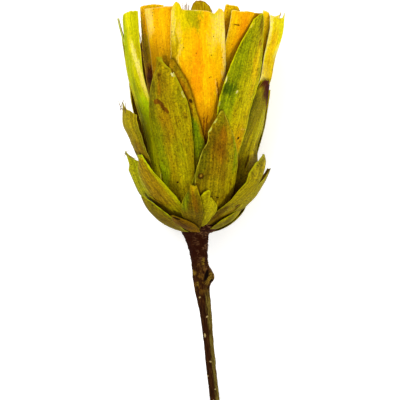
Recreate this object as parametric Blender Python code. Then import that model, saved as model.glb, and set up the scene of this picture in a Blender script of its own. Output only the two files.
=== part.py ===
"""A dried protea flower head with trimmed bracts on a cut woody stem, lying on its side.

The head is worked out upright in its own frame and then laid down. In that frame +Z is the way the
flower grew, the stem joins the head at height 0, and azimuth 0 faces -Y and turns towards +X.

Every bract lies on one family of nested bowls. A place on a bowl is given by `along`, the distance
up the outermost bowl's section from its lowest point, and by `depth`, the distance inwards from the
outermost bowl. A bowl's section is an arc for the belly and a straight leaning line for the wall.
Bracts are laid from the outermost inwards, each just inside those that it passes behind.

Run it with: blender --background --python part.py
"""

import math
from collections import namedtuple

import bpy
import numpy as np

MM = 0.001  # the sizes below are in millimetres and the angles in degrees

# The outermost bowl: its belly arc, and the lean of its wall away from the axis.
BELLY_RADIUS = 22.0
BELLY_CENTRE_R = 3.0
BELLY_CENTRE_Z = 21.7
WALL_LEAN = math.radians(8.4)
WALL_START = BELLY_RADIUS * (math.pi / 2 - WALL_LEAN)

# The side that the head lies on is pressed a little flat.
FLAT_AZIMUTH = 180.0
FLAT_SHARE = 0.09
FLAT_SPREAD = 23.0

# How the head lies: its axis rises towards the rim by this angle.
LYING_TILT = math.radians(7.7)

BRACT_THICKNESS = 0.5
BRACT_GAP = 0.4
BRACT_PITCH = BRACT_THICKNESS + BRACT_GAP
SIDE_MARGIN = 0.4  # how near two bracts may come side by side before one goes behind the other
FLARE_POWER = 1.5  # how late along its length a bract that stands out leaves the bowl
STEEPEST_DEPTH = 0.2  # the most that a bract's depth changes for each millimetre along
BRACT_ROW_PLACES = (6, 10, 14, 18, 22, 26, 30, 36, 43, 51, 60, 70, 80, 91, 102, 114)
ACROSS = np.linspace(-1.0, 1.0, 5)
SHORTEST_ROW_STEP = 1.5
PILE_AZIMUTHS = np.arange(0.0, 360.0, 2.0)
PILE_STEP = 1.5

# Where a bract leaves the receptacle: the deeper it lies, the higher up the receptacle it starts.
ROOT_DEPTHS = (0.0, 4.0, 8.0, 11.0, 14.0)
ROOT_RADII = (7.6, 9.0, 9.0, 7.8, 6.6)
ROOT_ALONG = 6.0
ROOT_HALF_WIDTH = 1.5
TIP_HALF_WIDTH = 0.35

RECEPTACLE_PROFILE = (  # radius, height
    (5.7, -0.6),
    (6.4, 0.6),
    (7.7, 3.6),
    (7.8, 8.0),
    (6.6, 11.4),
    (5.2, 14.4),
    (3.0, 16.4),
)

STEM_PROFILE = (  # radius, height, sideways place of the centre line
    (2.1, -80.0, 10.4),
    (2.1, -70.0, 9.1),
    (2.15, -59.0, 7.6),
    (2.2, -47.0, 6.2),
    (2.5, -38.0, 5.1),
    (2.9, -31.0, 4.1),
    (3.5, -24.0, 2.9),
    (4.4, -19.5, 3.0),
    (3.6, -14.0, 1.8),
    (4.2, -7.0, 0.9),
    (5.0, -3.0, 0.3),
)
STEM_DROOP = 7.0  # how far the cut end has sunk from the head's axis
STEM_DROOP_POWER = 1.6
STEM_LENGTH = -STEM_PROFILE[0][1]

FLORET_PROFILE = (  # radius, height
    (5.6, 17.6),
    (8.6, 22.0),
    (10.4, 34.0),
    (11.6, 54.0),
    (12.0, 72.0),
    (11.0, 81.0),
    (7.0, 85.0),
)

# Slot: colour, roughness.
FINISHES = {
    "orange_bract": ((0.86, 0.46, 0.03), 0.62),
    "yellow_bract": ((0.72, 0.62, 0.05), 0.62),
    "green_bract": ((0.30, 0.36, 0.02), 0.6),
    "olive_bract": ((0.30, 0.26, 0.02), 0.64),
    "olive_scale": ((0.27, 0.24, 0.02), 0.66),
    "bark": ((0.10, 0.06, 0.025), 0.85),
    "floret": ((0.42, 0.27, 0.10), 0.8),
}

# layer: the lowest are laid first, outermost. root and tip: azimuth at each end. reach: how far
# along the bowl the tip is. width: the widest. cut: width of the trimmed end, or nothing for a
# pointed one. widest: share of the length at which it is widest. slim: how long it stays slender
# above its root. bend: how late it turns from its root's azimuth to its tip's. flare: how far the
# tip stands out from the bowl.
Bract = namedtuple("Bract", "name slot layer root tip reach width cut widest slim bend flare")


def bract(
    name, slot, layer, root, tip, reach, width, cut=0.0, widest=0.55, slim=1.0, bend=1.0, flare=0.0
):
    return Bract(name, slot, layer, root, tip, reach, width, cut, widest, slim, bend, flare)


# The bracts that face up as it lies.
FRONT_BRACTS = (
    bract("basal_scale_front_left", "olive_scale", 1, -4, -33, 19, 8.5),
    bract("basal_scale_left", "olive_scale", 1, -48, -80, 29, 13),
    bract("basal_scale_right", "olive_scale", 1, 58, 80, 22, 11),
    bract("basal_scale_front", "olive_scale", 1, 0, -7, 33.5, 9.5, widest=0.5),
    bract("basal_scale_front_right", "green_bract", 2, 4, 13, 31, 11, widest=0.5),
    bract("lower_bract_front_left", "olive_scale", 2, -27, -70, 47, 18.4, widest=0.55, bend=2.1),
    bract("lower_bract_front_right", "green_bract", 2, 28, 86, 48, 14.5, widest=0.6, bend=1.3),
    bract("lower_bract_left", "green_bract", 3, -62, -82, 48, 15, cut=7, flare=5),
    bract("lower_bract_right", "green_bract", 3, 72, 102, 44.5, 12, flare=4.5),
    bract("middle_bract_front", "olive_bract", 3, 24, 19.5, 65.5, 18, widest=0.5),
    bract("lower_bract_front", "green_bract", 3, 2, 8.5, 47.5, 10.5),
    bract("middle_bract_left", "olive_bract", 3, -62, -70, 68.5, 22, cut=15, widest=0.75, flare=4.5),
    bract("middle_bract_front_left", "olive_bract", 3, -18, -33, 88, 21, widest=0.58, slim=1.2),
    bract("tall_bract_right", "green_bract", 4, 20, 44.5, 107.5, 19.5, cut=4.5, widest=0.68, slim=1.6),
    bract("tall_bract_left", "yellow_bract", 4, -65, -59.5, 107.6, 16, cut=15.5, widest=0.7, slim=2),
    bract("middle_bract_right", "olive_bract", 4, 44, 72, 80.5, 20, 10, 0.75, bend=0.85, flare=1.5),
    bract("middle_bract_behind", "olive_bract", 4, -8, -22, 87, 20, widest=0.5, slim=1.6),
    bract("inner_bract_front", "orange_bract", 5, 2, -2.5, 107.7, 24, cut=22.5, widest=0.7, slim=2),
    bract("inner_bract_left", "orange_bract", 6, -32, -30, 108.8, 17, cut=16.5, widest=0.7, slim=2),
    bract("inner_bract_right", "orange_bract", 6, 38, 35, 107.8, 17, cut=16, widest=0.7, slim=2),
    bract("rim_bract_left", "orange_bract", 7, -58, -41, 109.8, 14, cut=13.5, widest=0.7, slim=2),
    bract("rim_bract_pale_right", "yellow_bract", 7, 60, 57, 108.6, 10, cut=8, widest=0.7, slim=2),
    bract("rim_bract_right", "yellow_bract", 5, 84, 76, 109.4, 20, cut=18.5, widest=0.75, slim=2),
    bract("rim_bract_front_right", "orange_bract", 7, 16, 24, 109.4, 8, cut=7, slim=2),
    bract("rim_bract_back", "olive_bract", 7, 181, 181, 118.6, 16, cut=10, widest=0.7, slim=2),
    bract("rim_bract_far_left", "yellow_bract", 7, -78, -50, 107.6, 8, cut=6.5, slim=2),
    bract("narrow_bract_left", "olive_bract", 7, -40, -57, 107.4, 7, cut=5, slim=2),
    bract("rim_sliver_left", "green_bract", 5, -104, -97, 107.6, 11, slim=2, flare=1.5),
)

HIDDEN_ROOT_PULL = 0.1  # share of the way by which a root lies nearer the middle of that side
REACH_SWAY = 3.0  # how far the lengths and widths of a tier differ
WIDTH_SWAY = 0.8

# The side that it lies on: tiers of bracts at even steps of azimuth.
# name, slot, layer, first azimuth, step, count, reach, width, cut, widest, slim
HIDDEN_TIERS = (
    ("basal_scale_under", "olive_scale", 1, 99, 33, 6, 27, 15, 0, 0.5, 0.7),
    ("lower_bract_under", "green_bract", 2, 110, 35, 5, 46, 17, 0, 0.55, 0.8),
    ("middle_bract_under", "olive_bract", 3, 104, 30, 6, 78, 17, 0, 0.55, 1),
    ("tall_bract_under", "green_bract", 4, 116, 35, 5, 106, 20, 9, 0.6, 1.4),
    ("inner_bract_under", "orange_bract", 6, 103, 39, 5, 108.5, 22, 19, 0.72, 2),
)


def hidden_bracts():
    """The bracts of the hidden tiers. The even ones of a tier are laid before the odd ones."""
    found = []
    for name, slot, layer, first, step, count, reach, width, cut, widest, slim in HIDDEN_TIERS:
        for k in range(count):
            sway = math.sin(2.4 * k + first)
            tip = first + step * k
            root = tip - HIDDEN_ROOT_PULL * (tip - FLAT_AZIMUTH)
            taken = bract(
                f"{name}_{k + 1}",
                slot,
                layer + 0.5 * (k % 2),
                root,
                tip,
                reach + REACH_SWAY * sway,
                width + WIDTH_SWAY * math.cos(3.1 * k + first),
                cut,
                widest,
                slim,
            )
            found.append(taken)
    return found


def order_of_laying():
    return sorted(hidden_bracts() + list(FRONT_BRACTS), key=lambda one: one.layer)


def pressed(azimuth):
    """The share of its distance from the axis that a point keeps on the side that lies flat."""
    off = (azimuth - FLAT_AZIMUTH + 180.0) % 360.0 - 180.0
    return 1.0 - FLAT_SHARE * np.exp(-((off / FLAT_SPREAD) ** 2))


def bowl_radius_and_height(along, depth):
    """Radius and height of a place on the bowl at this depth: the belly arc, then the wall."""
    turn = np.minimum(along / BELLY_RADIUS, math.pi / 2 - WALL_LEAN)
    up = np.maximum(0.0, along - WALL_START)
    radius = BELLY_CENTRE_R + (BELLY_RADIUS - depth) * np.sin(turn) + up * math.sin(WALL_LEAN)
    height = BELLY_CENTRE_Z - (BELLY_RADIUS - depth) * np.cos(turn) + up * math.cos(WALL_LEAN)
    return radius, height


def bowl_point(along, depth, azimuth):
    radius, height = bowl_radius_and_height(along, depth)
    radius = radius * pressed(azimuth)
    turn = np.radians(azimuth)
    height = np.broadcast_to(height, radius.shape)
    return np.stack([radius * np.sin(turn), -radius * np.cos(turn), height], axis=-1)


def root_along(depth):
    """Where a bract at this depth starts, clear of the receptacle."""
    radius = np.interp(depth, ROOT_DEPTHS, ROOT_RADII)
    return BELLY_RADIUS * math.asin((radius - BELLY_CENTRE_R) / (BELLY_RADIUS - depth))


def share_of_length(one, along):
    return np.clip((along - ROOT_ALONG) / (one.reach - ROOT_ALONG), 0.0, 1.0)


def half_width(one, along):
    """Half the bract's width: it widens from the root on a sine and narrows to its tip on a cosine."""
    share = share_of_length(one, along)
    tip = max(one.cut / 2, TIP_HALF_WIDTH)
    widening = np.sin(math.pi / 2 * np.minimum(share / one.widest, 1.0)) ** one.slim
    narrowing = np.cos(math.pi / 2 * np.maximum(share - one.widest, 0.0) / (1.0 - one.widest))
    return np.where(
        share < one.widest,
        ROOT_HALF_WIDTH + (one.width / 2 - ROOT_HALF_WIDTH) * widening,
        tip + (one.width / 2 - tip) * narrowing,
    )


def centre_azimuth(one, along):
    return one.root + (one.tip - one.root) * share_of_length(one, along) ** one.bend


def azimuth_reach(one, along, depth, margin=0.0):
    """Half the angle that the bract takes up round the axis."""
    radius, _ = bowl_radius_and_height(along, depth)
    return np.degrees((half_width(one, along) + margin) / radius)


class Pile:
    """How deep the bracts laid so far reach, at each place along and azimuth."""

    def __init__(self):
        self.rows = np.array(BRACT_ROW_PLACES, float)
        self.places = np.arange(self.rows[0], self.rows[-1], PILE_STEP)
        self.depth = np.zeros((len(self.places), len(PILE_AZIMUTHS)))
        before = np.concatenate([[-math.inf], self.rows[:-1]])[:, None]
        after = np.concatenate([self.rows[1:], [math.inf]])[:, None]
        self.beside_row = (self.places > before) & (self.places < after)

    def covered_by(self, one, depth):
        """Which cells the bract passes over."""
        centre = centre_azimuth(one, self.places)[:, None]
        off = np.abs((PILE_AZIMUTHS - centre + 180.0) % 360.0 - 180.0)
        wide = azimuth_reach(one, self.places, depth, SIDE_MARGIN)[:, None]
        return (off <= wide) & (self.places <= one.reach + PILE_STEP)[:, None]

    def depth_met(self, one, depth):
        return np.where(self.covered_by(one, depth), self.depth, 0.0).max(axis=1)

    def lay(self, one):
        """Lays a bract inside what it passes behind, and returns its depth at each row place."""
        met = self.depth_met(one, self.depth_met(one, 0.0))
        met_beside = np.where(self.beside_row, met, 0.0).max(axis=1)
        steps = np.abs(self.rows[:, None] - self.rows)
        depth = (met_beside[None, :] - STEEPEST_DEPTH * steps).max(axis=1)
        out = depth - one.flare * share_of_length(one, self.rows) ** FLARE_POWER
        depth = np.where(met_beside > 0, np.maximum(out, met_beside), out)
        laid = np.interp(self.places, self.rows, depth)
        reached = np.where(self.covered_by(one, laid), laid[:, None] + BRACT_PITCH, 0.0)
        self.depth = np.maximum(self.depth, reached)
        return depth


def finish(slot):
    """The slot's material, made the first time that it is asked for."""
    if slot in bpy.data.materials:
        return bpy.data.materials[slot]
    colour, roughness = FINISHES[slot]
    material = bpy.data.materials.new(slot)
    material.use_nodes = True
    shader = material.node_tree.nodes["Principled BSDF"]
    shader.inputs["Base Color"].default_value = (*colour, 1.0)
    shader.inputs["Roughness"].default_value = roughness
    shader.inputs["Metallic"].default_value = 0.0
    return material


def add_object(name, slot, data, parent):
    data.materials.append(finish(slot))
    made = bpy.data.objects.new(name, data)
    bpy.context.scene.collection.objects.link(made)
    made.parent = parent
    return made


def add_bract(one, depths, parent):
    """A bract as the outer face of its sheet, with a Solidify modifier that thickens it inwards."""
    places = np.array(BRACT_ROW_PLACES, float)
    start = root_along(depths[1])
    inside = (places > start + SHORTEST_ROW_STEP) & (places < one.reach - SHORTEST_ROW_STEP)
    along = np.array([start, *places[inside], one.reach])
    depth = np.interp(along, places, depths)
    centre = centre_azimuth(one, along)[:, None]
    azimuth = centre + ACROSS * azimuth_reach(one, along, depth)[:, None]
    points = bowl_point(along[:, None], depth[:, None], azimuth) * MM
    columns = len(ACROSS)
    faces = [
        (k, k + 1, k + 1 + columns, k + columns)
        for k in range((len(along) - 1) * columns)
        if k % columns < columns - 1
    ]
    mesh = bpy.data.meshes.new(one.name)
    mesh.from_pydata(points.reshape(-1, 3).tolist(), [], faces)
    mesh.shade_smooth()
    made = add_object(one.name, one.slot, mesh, parent)
    thicken = made.modifiers.new("thickness", "SOLIDIFY")
    thicken.thickness = BRACT_THICKNESS * MM
    thicken.offset = -1.0
    return made


def add_swept(name, slot, profile, parent):
    """A round body swept through centres with a radius at each, closed by flat ends."""
    curve = bpy.data.curves.new(name, "CURVE")
    curve.dimensions = "3D"
    curve.bevel_depth = MM
    curve.bevel_resolution = 3
    curve.use_fill_caps = True
    line = curve.splines.new("POLY")
    line.points.add(len(profile) - 1)
    for point, (radius, centre) in zip(line.points, profile):
        point.co = (*(c * MM for c in centre), 1.0)
        point.radius = radius
    return add_object(name, slot, curve, parent)


def add_stem(parent):
    """The woody stem, with the receptacle that it swells into inside the head, grown as one piece."""
    profile = []
    for radius, height, sideways in STEM_PROFILE:
        sunk = STEM_DROOP * (-height / STEM_LENGTH) ** STEM_DROOP_POWER
        profile.append((radius, (sideways, sunk, height)))
    profile += [(radius, (0.0, 0.0, height)) for radius, height in RECEPTACLE_PROFILE]
    return add_swept("stem", "bark", profile, parent)


def add_florets(parent):
    """The packed bundle of florets that stands on the receptacle, as one soft body."""
    profile = [(radius, (0.0, 0.0, height)) for radius, height in FLORET_PROFILE]
    return add_swept("florets", "floret", profile, parent)


def lay_down(holder, pieces):
    """Turns the head onto its flat side and brings its base to z = 0, centred on the origin."""
    holder.rotation_euler = (LYING_TILT - math.pi / 2, 0.0, 0.0)
    bpy.context.view_layer.update()
    seen = bpy.context.evaluated_depsgraph_get()
    corners = []
    for piece in pieces:
        mesh = piece.evaluated_get(seen).to_mesh()
        corners += [piece.matrix_world @ vertex.co for vertex in mesh.vertices]
    low, high = np.min(corners, axis=0), np.max(corners, axis=0)
    holder.location = (-(low[0] + high[0]) / 2, -(low[1] + high[1]) / 2, -low[2])


def main():
    for old in list(bpy.data.objects):
        bpy.data.objects.remove(old)
    holder = bpy.data.objects.new("lying_flower", None)
    bpy.context.scene.collection.objects.link(holder)
    pile = Pile()
    pieces = [add_stem(holder), add_florets(holder)]
    for one in order_of_laying():
        pieces.append(add_bract(one, pile.lay(one), holder))
    lay_down(holder, pieces)


if __name__ == "__main__":
    main()
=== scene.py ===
"""The looks of a dried, trimmed protea head that lies on its side, built round its CAD frame."""

import math
from collections import namedtuple

import bpy
import numpy as np
from mathutils import Matrix, Vector


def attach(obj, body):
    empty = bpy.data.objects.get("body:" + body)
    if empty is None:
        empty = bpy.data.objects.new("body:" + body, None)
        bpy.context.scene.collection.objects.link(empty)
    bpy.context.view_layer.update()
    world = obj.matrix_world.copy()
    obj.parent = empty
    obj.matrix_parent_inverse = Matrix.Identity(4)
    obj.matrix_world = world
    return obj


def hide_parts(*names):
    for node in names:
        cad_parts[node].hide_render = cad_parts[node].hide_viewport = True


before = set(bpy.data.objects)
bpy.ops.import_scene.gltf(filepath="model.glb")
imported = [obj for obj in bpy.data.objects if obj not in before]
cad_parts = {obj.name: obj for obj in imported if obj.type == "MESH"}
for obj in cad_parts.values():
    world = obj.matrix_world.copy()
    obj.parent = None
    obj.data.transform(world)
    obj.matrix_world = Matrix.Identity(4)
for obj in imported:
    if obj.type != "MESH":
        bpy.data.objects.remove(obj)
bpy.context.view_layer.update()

bl_info = {
    "name": "Dried protea head",
    "version": (1, 0, 0),
    "blender": (4, 5, 0),
    "location": "View3D > Sidebar > Protea",
    "description": "Bracts, florets and stem of a dried protea head, with a plain studio stage",
    "category": "Add Mesh",
}

# Lengths are in millimetres and angles in degrees unless a name says otherwise.
MM = 0.001
ROOT_BODY = "root"

# The bowl that the bracts lie on: a round belly, then a wall that leans outwards.
BELLY_RADIUS = 22.0
BELLY_CENTRE_RADIUS = 3.0
BELLY_CENTRE_HEIGHT = 21.7
WALL_LEAN = math.radians(8.4)
WALL_START = BELLY_RADIUS * (math.pi / 2 - WALL_LEAN)

# The side that it lies on is pressed flatter.
FLAT_AZIMUTH = 180.0
FLAT_SHARE = 0.09
FLAT_SPREAD = 23.0

LYING_TILT = math.radians(7.7)
FLORET_TOP = 85.0

# How far apart the CAD's corners are: on one ring, from row to row, and from face to face.
RING_GAP = 0.05
ROW_GAP = 0.7
FACE_GAP = 0.25

# The head's own x, y and z directions as it lies: y points down into the table, z to the rim.
HEAD_AXES = np.array(
    [
        (1.0, 0.0, 0.0),
        (0.0, math.sin(LYING_TILT), -math.cos(LYING_TILT)),
        (0.0, math.cos(LYING_TILT), math.sin(LYING_TILT)),
    ]
)
LOWEST = 0.12  # how far above the table the lowest faces stay


def smooth(x):
    """Nought below 0 and one above 1, eased between by the cubic 3x^2 - 2x^3."""
    x = np.clip(x, 0.0, 1.0)
    return x * x * (3.0 - 2.0 * x)


def eased(x, low, high):
    """Nought at low and one at high, eased between."""
    return smooth((x - low) / (high - low))


def turned(degrees):
    """The same direction as an angle from -180 up to 180."""
    return (degrees + 180.0) % 360.0 - 180.0


def smooth_through(x, places, values):
    """The cubic curve through the knots whose slope at a knot is the mean of those beside it."""
    step = np.diff(values) / np.diff(places)
    slope = np.concatenate([step[:1], (step[1:] + step[:-1]) / 2, step[-1:]])
    x = np.clip(x, places[0], places[-1])
    k = np.clip(np.searchsorted(places, x) - 1, 0, len(places) - 2)
    width = places[k + 1] - places[k]
    t = (x - places[k]) / width
    rise = t * t * (3.0 - 2.0 * t)
    leaving = t * (1.0 - t) ** 2 * width * slope[k]
    arriving = t * t * (t - 1.0) * width * slope[k + 1]
    return values[k] * (1.0 - rise) + values[k + 1] * rise + leaving + arriving


def wander(x, period, seed, octaves=3):
    """Smooth noise from -1 to 1 along x: random heights a period apart with eased steps between
    them, and each further octave half as long and half as high."""
    total = np.zeros(np.shape(x))
    for octave in range(octaves):
        heights = np.random.default_rng(seed + 101 * octave).uniform(-1.0, 1.0, 512)
        place = np.asarray(x) / period * 2.0**octave + 256.0
        low = np.floor(place).astype(int)
        ease = smooth(place - low)
        step = heights[low % 512] * (1.0 - ease) + heights[(low + 1) % 512] * ease
        total = total + 0.5**octave * step
    return total / (2.0 - 0.5 ** (octaves - 1))


def rolling(x, y, period_x, period_y, seed, octaves=2):
    """Smooth noise from -1 to 1 over x and y: random heights on a grid of those periods, with
    eased steps between them, and each further octave half as long and half as high."""
    total = 0.0
    for octave in range(octaves):
        heights = np.random.default_rng(seed + 211 * octave).uniform(-1.0, 1.0, (64, 64))
        place_x = np.asarray(x) / period_x * 2.0**octave + 32.0
        place_y = np.asarray(y) / period_y * 2.0**octave + 32.0
        low_x = np.floor(place_x).astype(int)
        low_y = np.floor(place_y).astype(int)
        ease_x = smooth(place_x - low_x)
        ease_y = smooth(place_y - low_y)
        low_x, high_x = low_x % 64, (low_x + 1) % 64
        low_y, high_y = low_y % 64, (low_y + 1) % 64
        near = heights[low_x, low_y] * (1.0 - ease_y) + heights[low_x, high_y] * ease_y
        far = heights[high_x, low_y] * (1.0 - ease_y) + heights[high_x, high_y] * ease_y
        total = total + 0.5**octave * (near * (1.0 - ease_x) + far * ease_x)
    return total / (2.0 - 0.5 ** (octaves - 1))


# ---------------------------------------------------------------- where the head lies


def node_corners(name):
    """The different corners of a CAD node, in millimetres, as it lies."""
    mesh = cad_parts[name].data
    corners = np.empty(len(mesh.vertices) * 3)
    mesh.vertices.foreach_get("co", corners)
    return np.unique(np.round(corners.reshape(-1, 3) / MM, 3), axis=0)


def find_head_base():
    """Where the head's own origin lies, from the ring that ends the bundle of florets."""
    corners = node_corners("florets")
    along_head = corners @ HEAD_AXES[2]
    ring = corners[along_head > along_head.max() - RING_GAP]
    return ring.mean(axis=0) - FLORET_TOP * HEAD_AXES[2]


HEAD_BASE = find_head_base()


def to_head(points):
    """Points as they lie, in the head's own x, y and z."""
    return (points - HEAD_BASE) @ HEAD_AXES.T


def to_table(points):
    """Points in the head's own x, y and z, as they lie. None goes into the table."""
    lying = HEAD_BASE + points @ HEAD_AXES
    lying[..., 2] = np.maximum(lying[..., 2], LOWEST)
    return lying


def pressed(azimuth):
    """The share of its distance from the axis that a point keeps on the side that lies flat."""
    off = turned(azimuth - FLAT_AZIMUTH)
    return 1.0 - FLAT_SHARE * np.exp(-((off / FLAT_SPREAD) ** 2))


def bowl_radius(along, depth):
    """Distance from the axis at this length along the bowl: the sine of the belly's turn, and
    above it the wall's lean."""
    turn = np.clip(along / BELLY_RADIUS, 0.0, math.pi / 2 - WALL_LEAN)
    up = np.maximum(0.0, along - WALL_START)
    return BELLY_CENTRE_RADIUS + (BELLY_RADIUS - depth) * np.sin(turn) + up * math.sin(WALL_LEAN)


def bowl_height(along, depth):
    """Height up the head's axis at this length along the bowl."""
    turn = np.clip(along / BELLY_RADIUS, 0.0, math.pi / 2 - WALL_LEAN)
    up = np.maximum(0.0, along - WALL_START)
    return BELLY_CENTRE_HEIGHT - (BELLY_RADIUS - depth) * np.cos(turn) + up * math.cos(WALL_LEAN)


def bowl_point(along, azimuth, depth):
    """The point in the head's own x, y and z: round the axis by the azimuth, from -y."""
    radius = bowl_radius(along, depth) * pressed(azimuth)
    turn = np.radians(azimuth)
    return np.stack(
        [radius * np.sin(turn), -radius * np.cos(turn), bowl_height(along, depth)], axis=-1
    )


def bowl_place(points):
    """Length along the bowl, azimuth and depth of points: the inverse of bowl_point."""
    azimuth = np.degrees(np.arctan2(points[:, 0], -points[:, 1]))
    radius = np.hypot(points[:, 0], points[:, 1]) / pressed(azimuth)
    out = radius - BELLY_CENTRE_RADIUS
    up = points[:, 2] - BELLY_CENTRE_HEIGHT
    turn = np.arctan2(out, -up)
    in_belly = turn < math.pi / 2 - WALL_LEAN
    on_wall = WALL_START + up * math.cos(WALL_LEAN) + out * math.sin(WALL_LEAN)
    from_wall = BELLY_RADIUS - out * math.cos(WALL_LEAN) + up * math.sin(WALL_LEAN)
    along = np.where(in_belly, BELLY_RADIUS * turn, on_wall)
    depth = np.where(in_belly, BELLY_RADIUS - np.hypot(out, up), from_wall)
    return along, azimuth, depth


def in_rows(values, gap):
    """The indices of the values in order, cut into rows wherever the next is a gap further on."""
    order = np.argsort(values, kind="stable")
    return np.split(order, np.nonzero(np.diff(values[order]) > gap)[0] + 1)


class Outline:
    """What a bract's CAD solid says of its shape: edges and depth at each place along the bowl."""

    def __init__(self, name):
        points = to_head(node_corners(name))
        centre = points.mean(axis=0)
        self.middle = math.degrees(math.atan2(centre[0], -centre[1]))
        along, azimuth, depth = bowl_place(points)
        azimuth = turned(azimuth - self.middle)
        rows = []
        for row in in_rows(along, ROW_GAP):
            outer = row[depth[row] < depth[row].min() + FACE_GAP]
            side = azimuth[outer]
            rows.append((along[outer].mean(), side.min(), side.max(), depth[outer].mean()))
        self.places, self.left, self.right, self.depth = np.array(rows).T

    def start(self):
        return self.places[0]

    def reach(self):
        return self.places[-1]

    def widest(self):
        """Its greatest width in millimetres."""
        radius = bowl_radius(self.places, self.depth)
        return float((np.radians(self.right - self.left) * radius).max())

    def at(self, along):
        """Left edge, right edge and depth, the edges in degrees from the bract's middle."""
        return (
            smooth_through(along, self.places, self.left),
            smooth_through(along, self.places, self.right),
            smooth_through(along, self.places, self.depth),
        )


# ---------------------------------------------------------------- meshes


def grid_quads(rows, columns, first=0):
    """The quads of a grid whose corners run along a row, then to the next row."""
    k = (np.arange(rows - 1)[:, None] * columns + np.arange(columns - 1)).reshape(-1) + first
    return np.stack([k, k + 1, k + 1 + columns, k + columns], axis=1)


def ring_quads(rings, sides):
    """The quads of a closed tube: each ring's corners join to the next ring's, and round."""
    ring = np.arange(rings - 1)[:, None] * sides
    side = np.arange(sides)
    after = (side + 1) % sides
    return np.stack(
        [ring + side, ring + after, ring + sides + after, ring + sides + side], axis=-1
    ).reshape(-1, 4)


def add_mesh(name, points, quads, triangles=None, attributes=None):
    """A mesh object at the origin from points in millimetres, with vector attributes."""
    corners = quads.reshape(-1)
    sizes = np.full(len(quads), 4)
    if triangles is not None:
        corners = np.concatenate([corners, triangles.reshape(-1)])
        sizes = np.concatenate([sizes, np.full(len(triangles), 3)])
    mesh = bpy.data.meshes.new(name)
    mesh.vertices.add(len(points))
    mesh.vertices.foreach_set("co", (points * MM).astype(np.float32).reshape(-1))
    mesh.loops.add(len(corners))
    mesh.loops.foreach_set("vertex_index", corners.astype(np.int32))
    mesh.polygons.add(len(sizes))
    mesh.polygons.foreach_set("loop_start", (np.cumsum(sizes) - sizes).astype(np.int32))
    mesh.update(calc_edges=True)
    mesh.shade_smooth()
    for title, values in (attributes or {}).items():
        layer = mesh.attributes.new(title, "FLOAT_VECTOR", "POINT")
        layer.data.foreach_set("vector", values.astype(np.float32).reshape(-1))
    if mesh.validate():
        raise RuntimeError(f"the mesh of {name} had faces that are not valid")
    made = bpy.data.objects.new(name, mesh)
    bpy.context.scene.collection.objects.link(made)
    return made


def add_sheet(name, outer, inner, attributes):
    """A thin closed sheet from two grids, the outer and the inner face, joined round their rims.
    Each attribute is a pair of grids as well."""
    rows, columns = outer.shape[:2]
    count = rows * columns
    front = grid_quads(rows, columns)
    back = grid_quads(rows, columns, count)[:, ::-1]
    along_bottom = np.arange(columns)
    along_top = along_bottom + (rows - 1) * columns
    up_left = np.arange(rows) * columns
    up_right = up_left + columns - 1
    rim = np.concatenate([along_bottom, up_right[1:], along_top[::-1][1:], up_left[::-1][1:]])
    sides = np.stack([rim[1:], rim[:-1], rim[:-1] + count, rim[1:] + count], axis=1)
    points = np.concatenate([outer.reshape(-1, 3), inner.reshape(-1, 3)])
    both = {
        title: np.concatenate([pair[0].reshape(-1, 3), pair[1].reshape(-1, 3)])
        for title, pair in attributes.items()
    }
    return add_mesh(name, points, np.concatenate([front, back, sides]), attributes=both)


def add_tube(name, rings, attributes):
    """A closed tube whose first and last rings shrink to a point. Rings are arrays of corners,
    anticlockwise seen from the far end."""
    count, sides = rings.shape[:2]
    points = np.concatenate([rings.reshape(-1, 3), rings[[0, -1]].mean(axis=1)])
    quads = ring_quads(count, sides)
    side = np.arange(sides)
    after = (side + 1) % sides
    last = (count - 1) * sides
    near = np.stack([after, side, np.full(sides, count * sides)], axis=1)
    far = np.stack([last + side, last + after, np.full(sides, count * sides + 1)], axis=1)
    closed = {
        title: np.concatenate([values.reshape(-1, 3), values[[0, -1]].mean(axis=1)])
        for title, values in attributes.items()
    }
    return add_mesh(name, points, quads, np.concatenate([near, far]), closed)


# ---------------------------------------------------------------- materials


class Signal:
    """A node's socket that takes part in Python expressions: each operator adds its Math node."""

    def __init__(self, graph, socket):
        self.graph = graph
        self.socket = socket

    def __add__(self, other):
        return self.graph.math("ADD", self, other)

    def __sub__(self, other):
        return self.graph.math("SUBTRACT", self, other)

    def __rsub__(self, other):
        return self.graph.math("SUBTRACT", other, self)

    def __mul__(self, other):
        return self.graph.math("MULTIPLY", self, other)

    __radd__ = __add__
    __rmul__ = __mul__

    def between(self, low, high):
        """Nought at low and one at high, eased."""
        settings = {"interpolation_type": "SMOOTHSTEP"}
        return self.graph.add("ShaderNodeMapRange", settings, {0: self, 1: low, 2: high})

    def part(self, index):
        """One component of a vector or colour."""
        return self.graph.add("ShaderNodeSeparateXYZ", {}, (self,), index)


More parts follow.
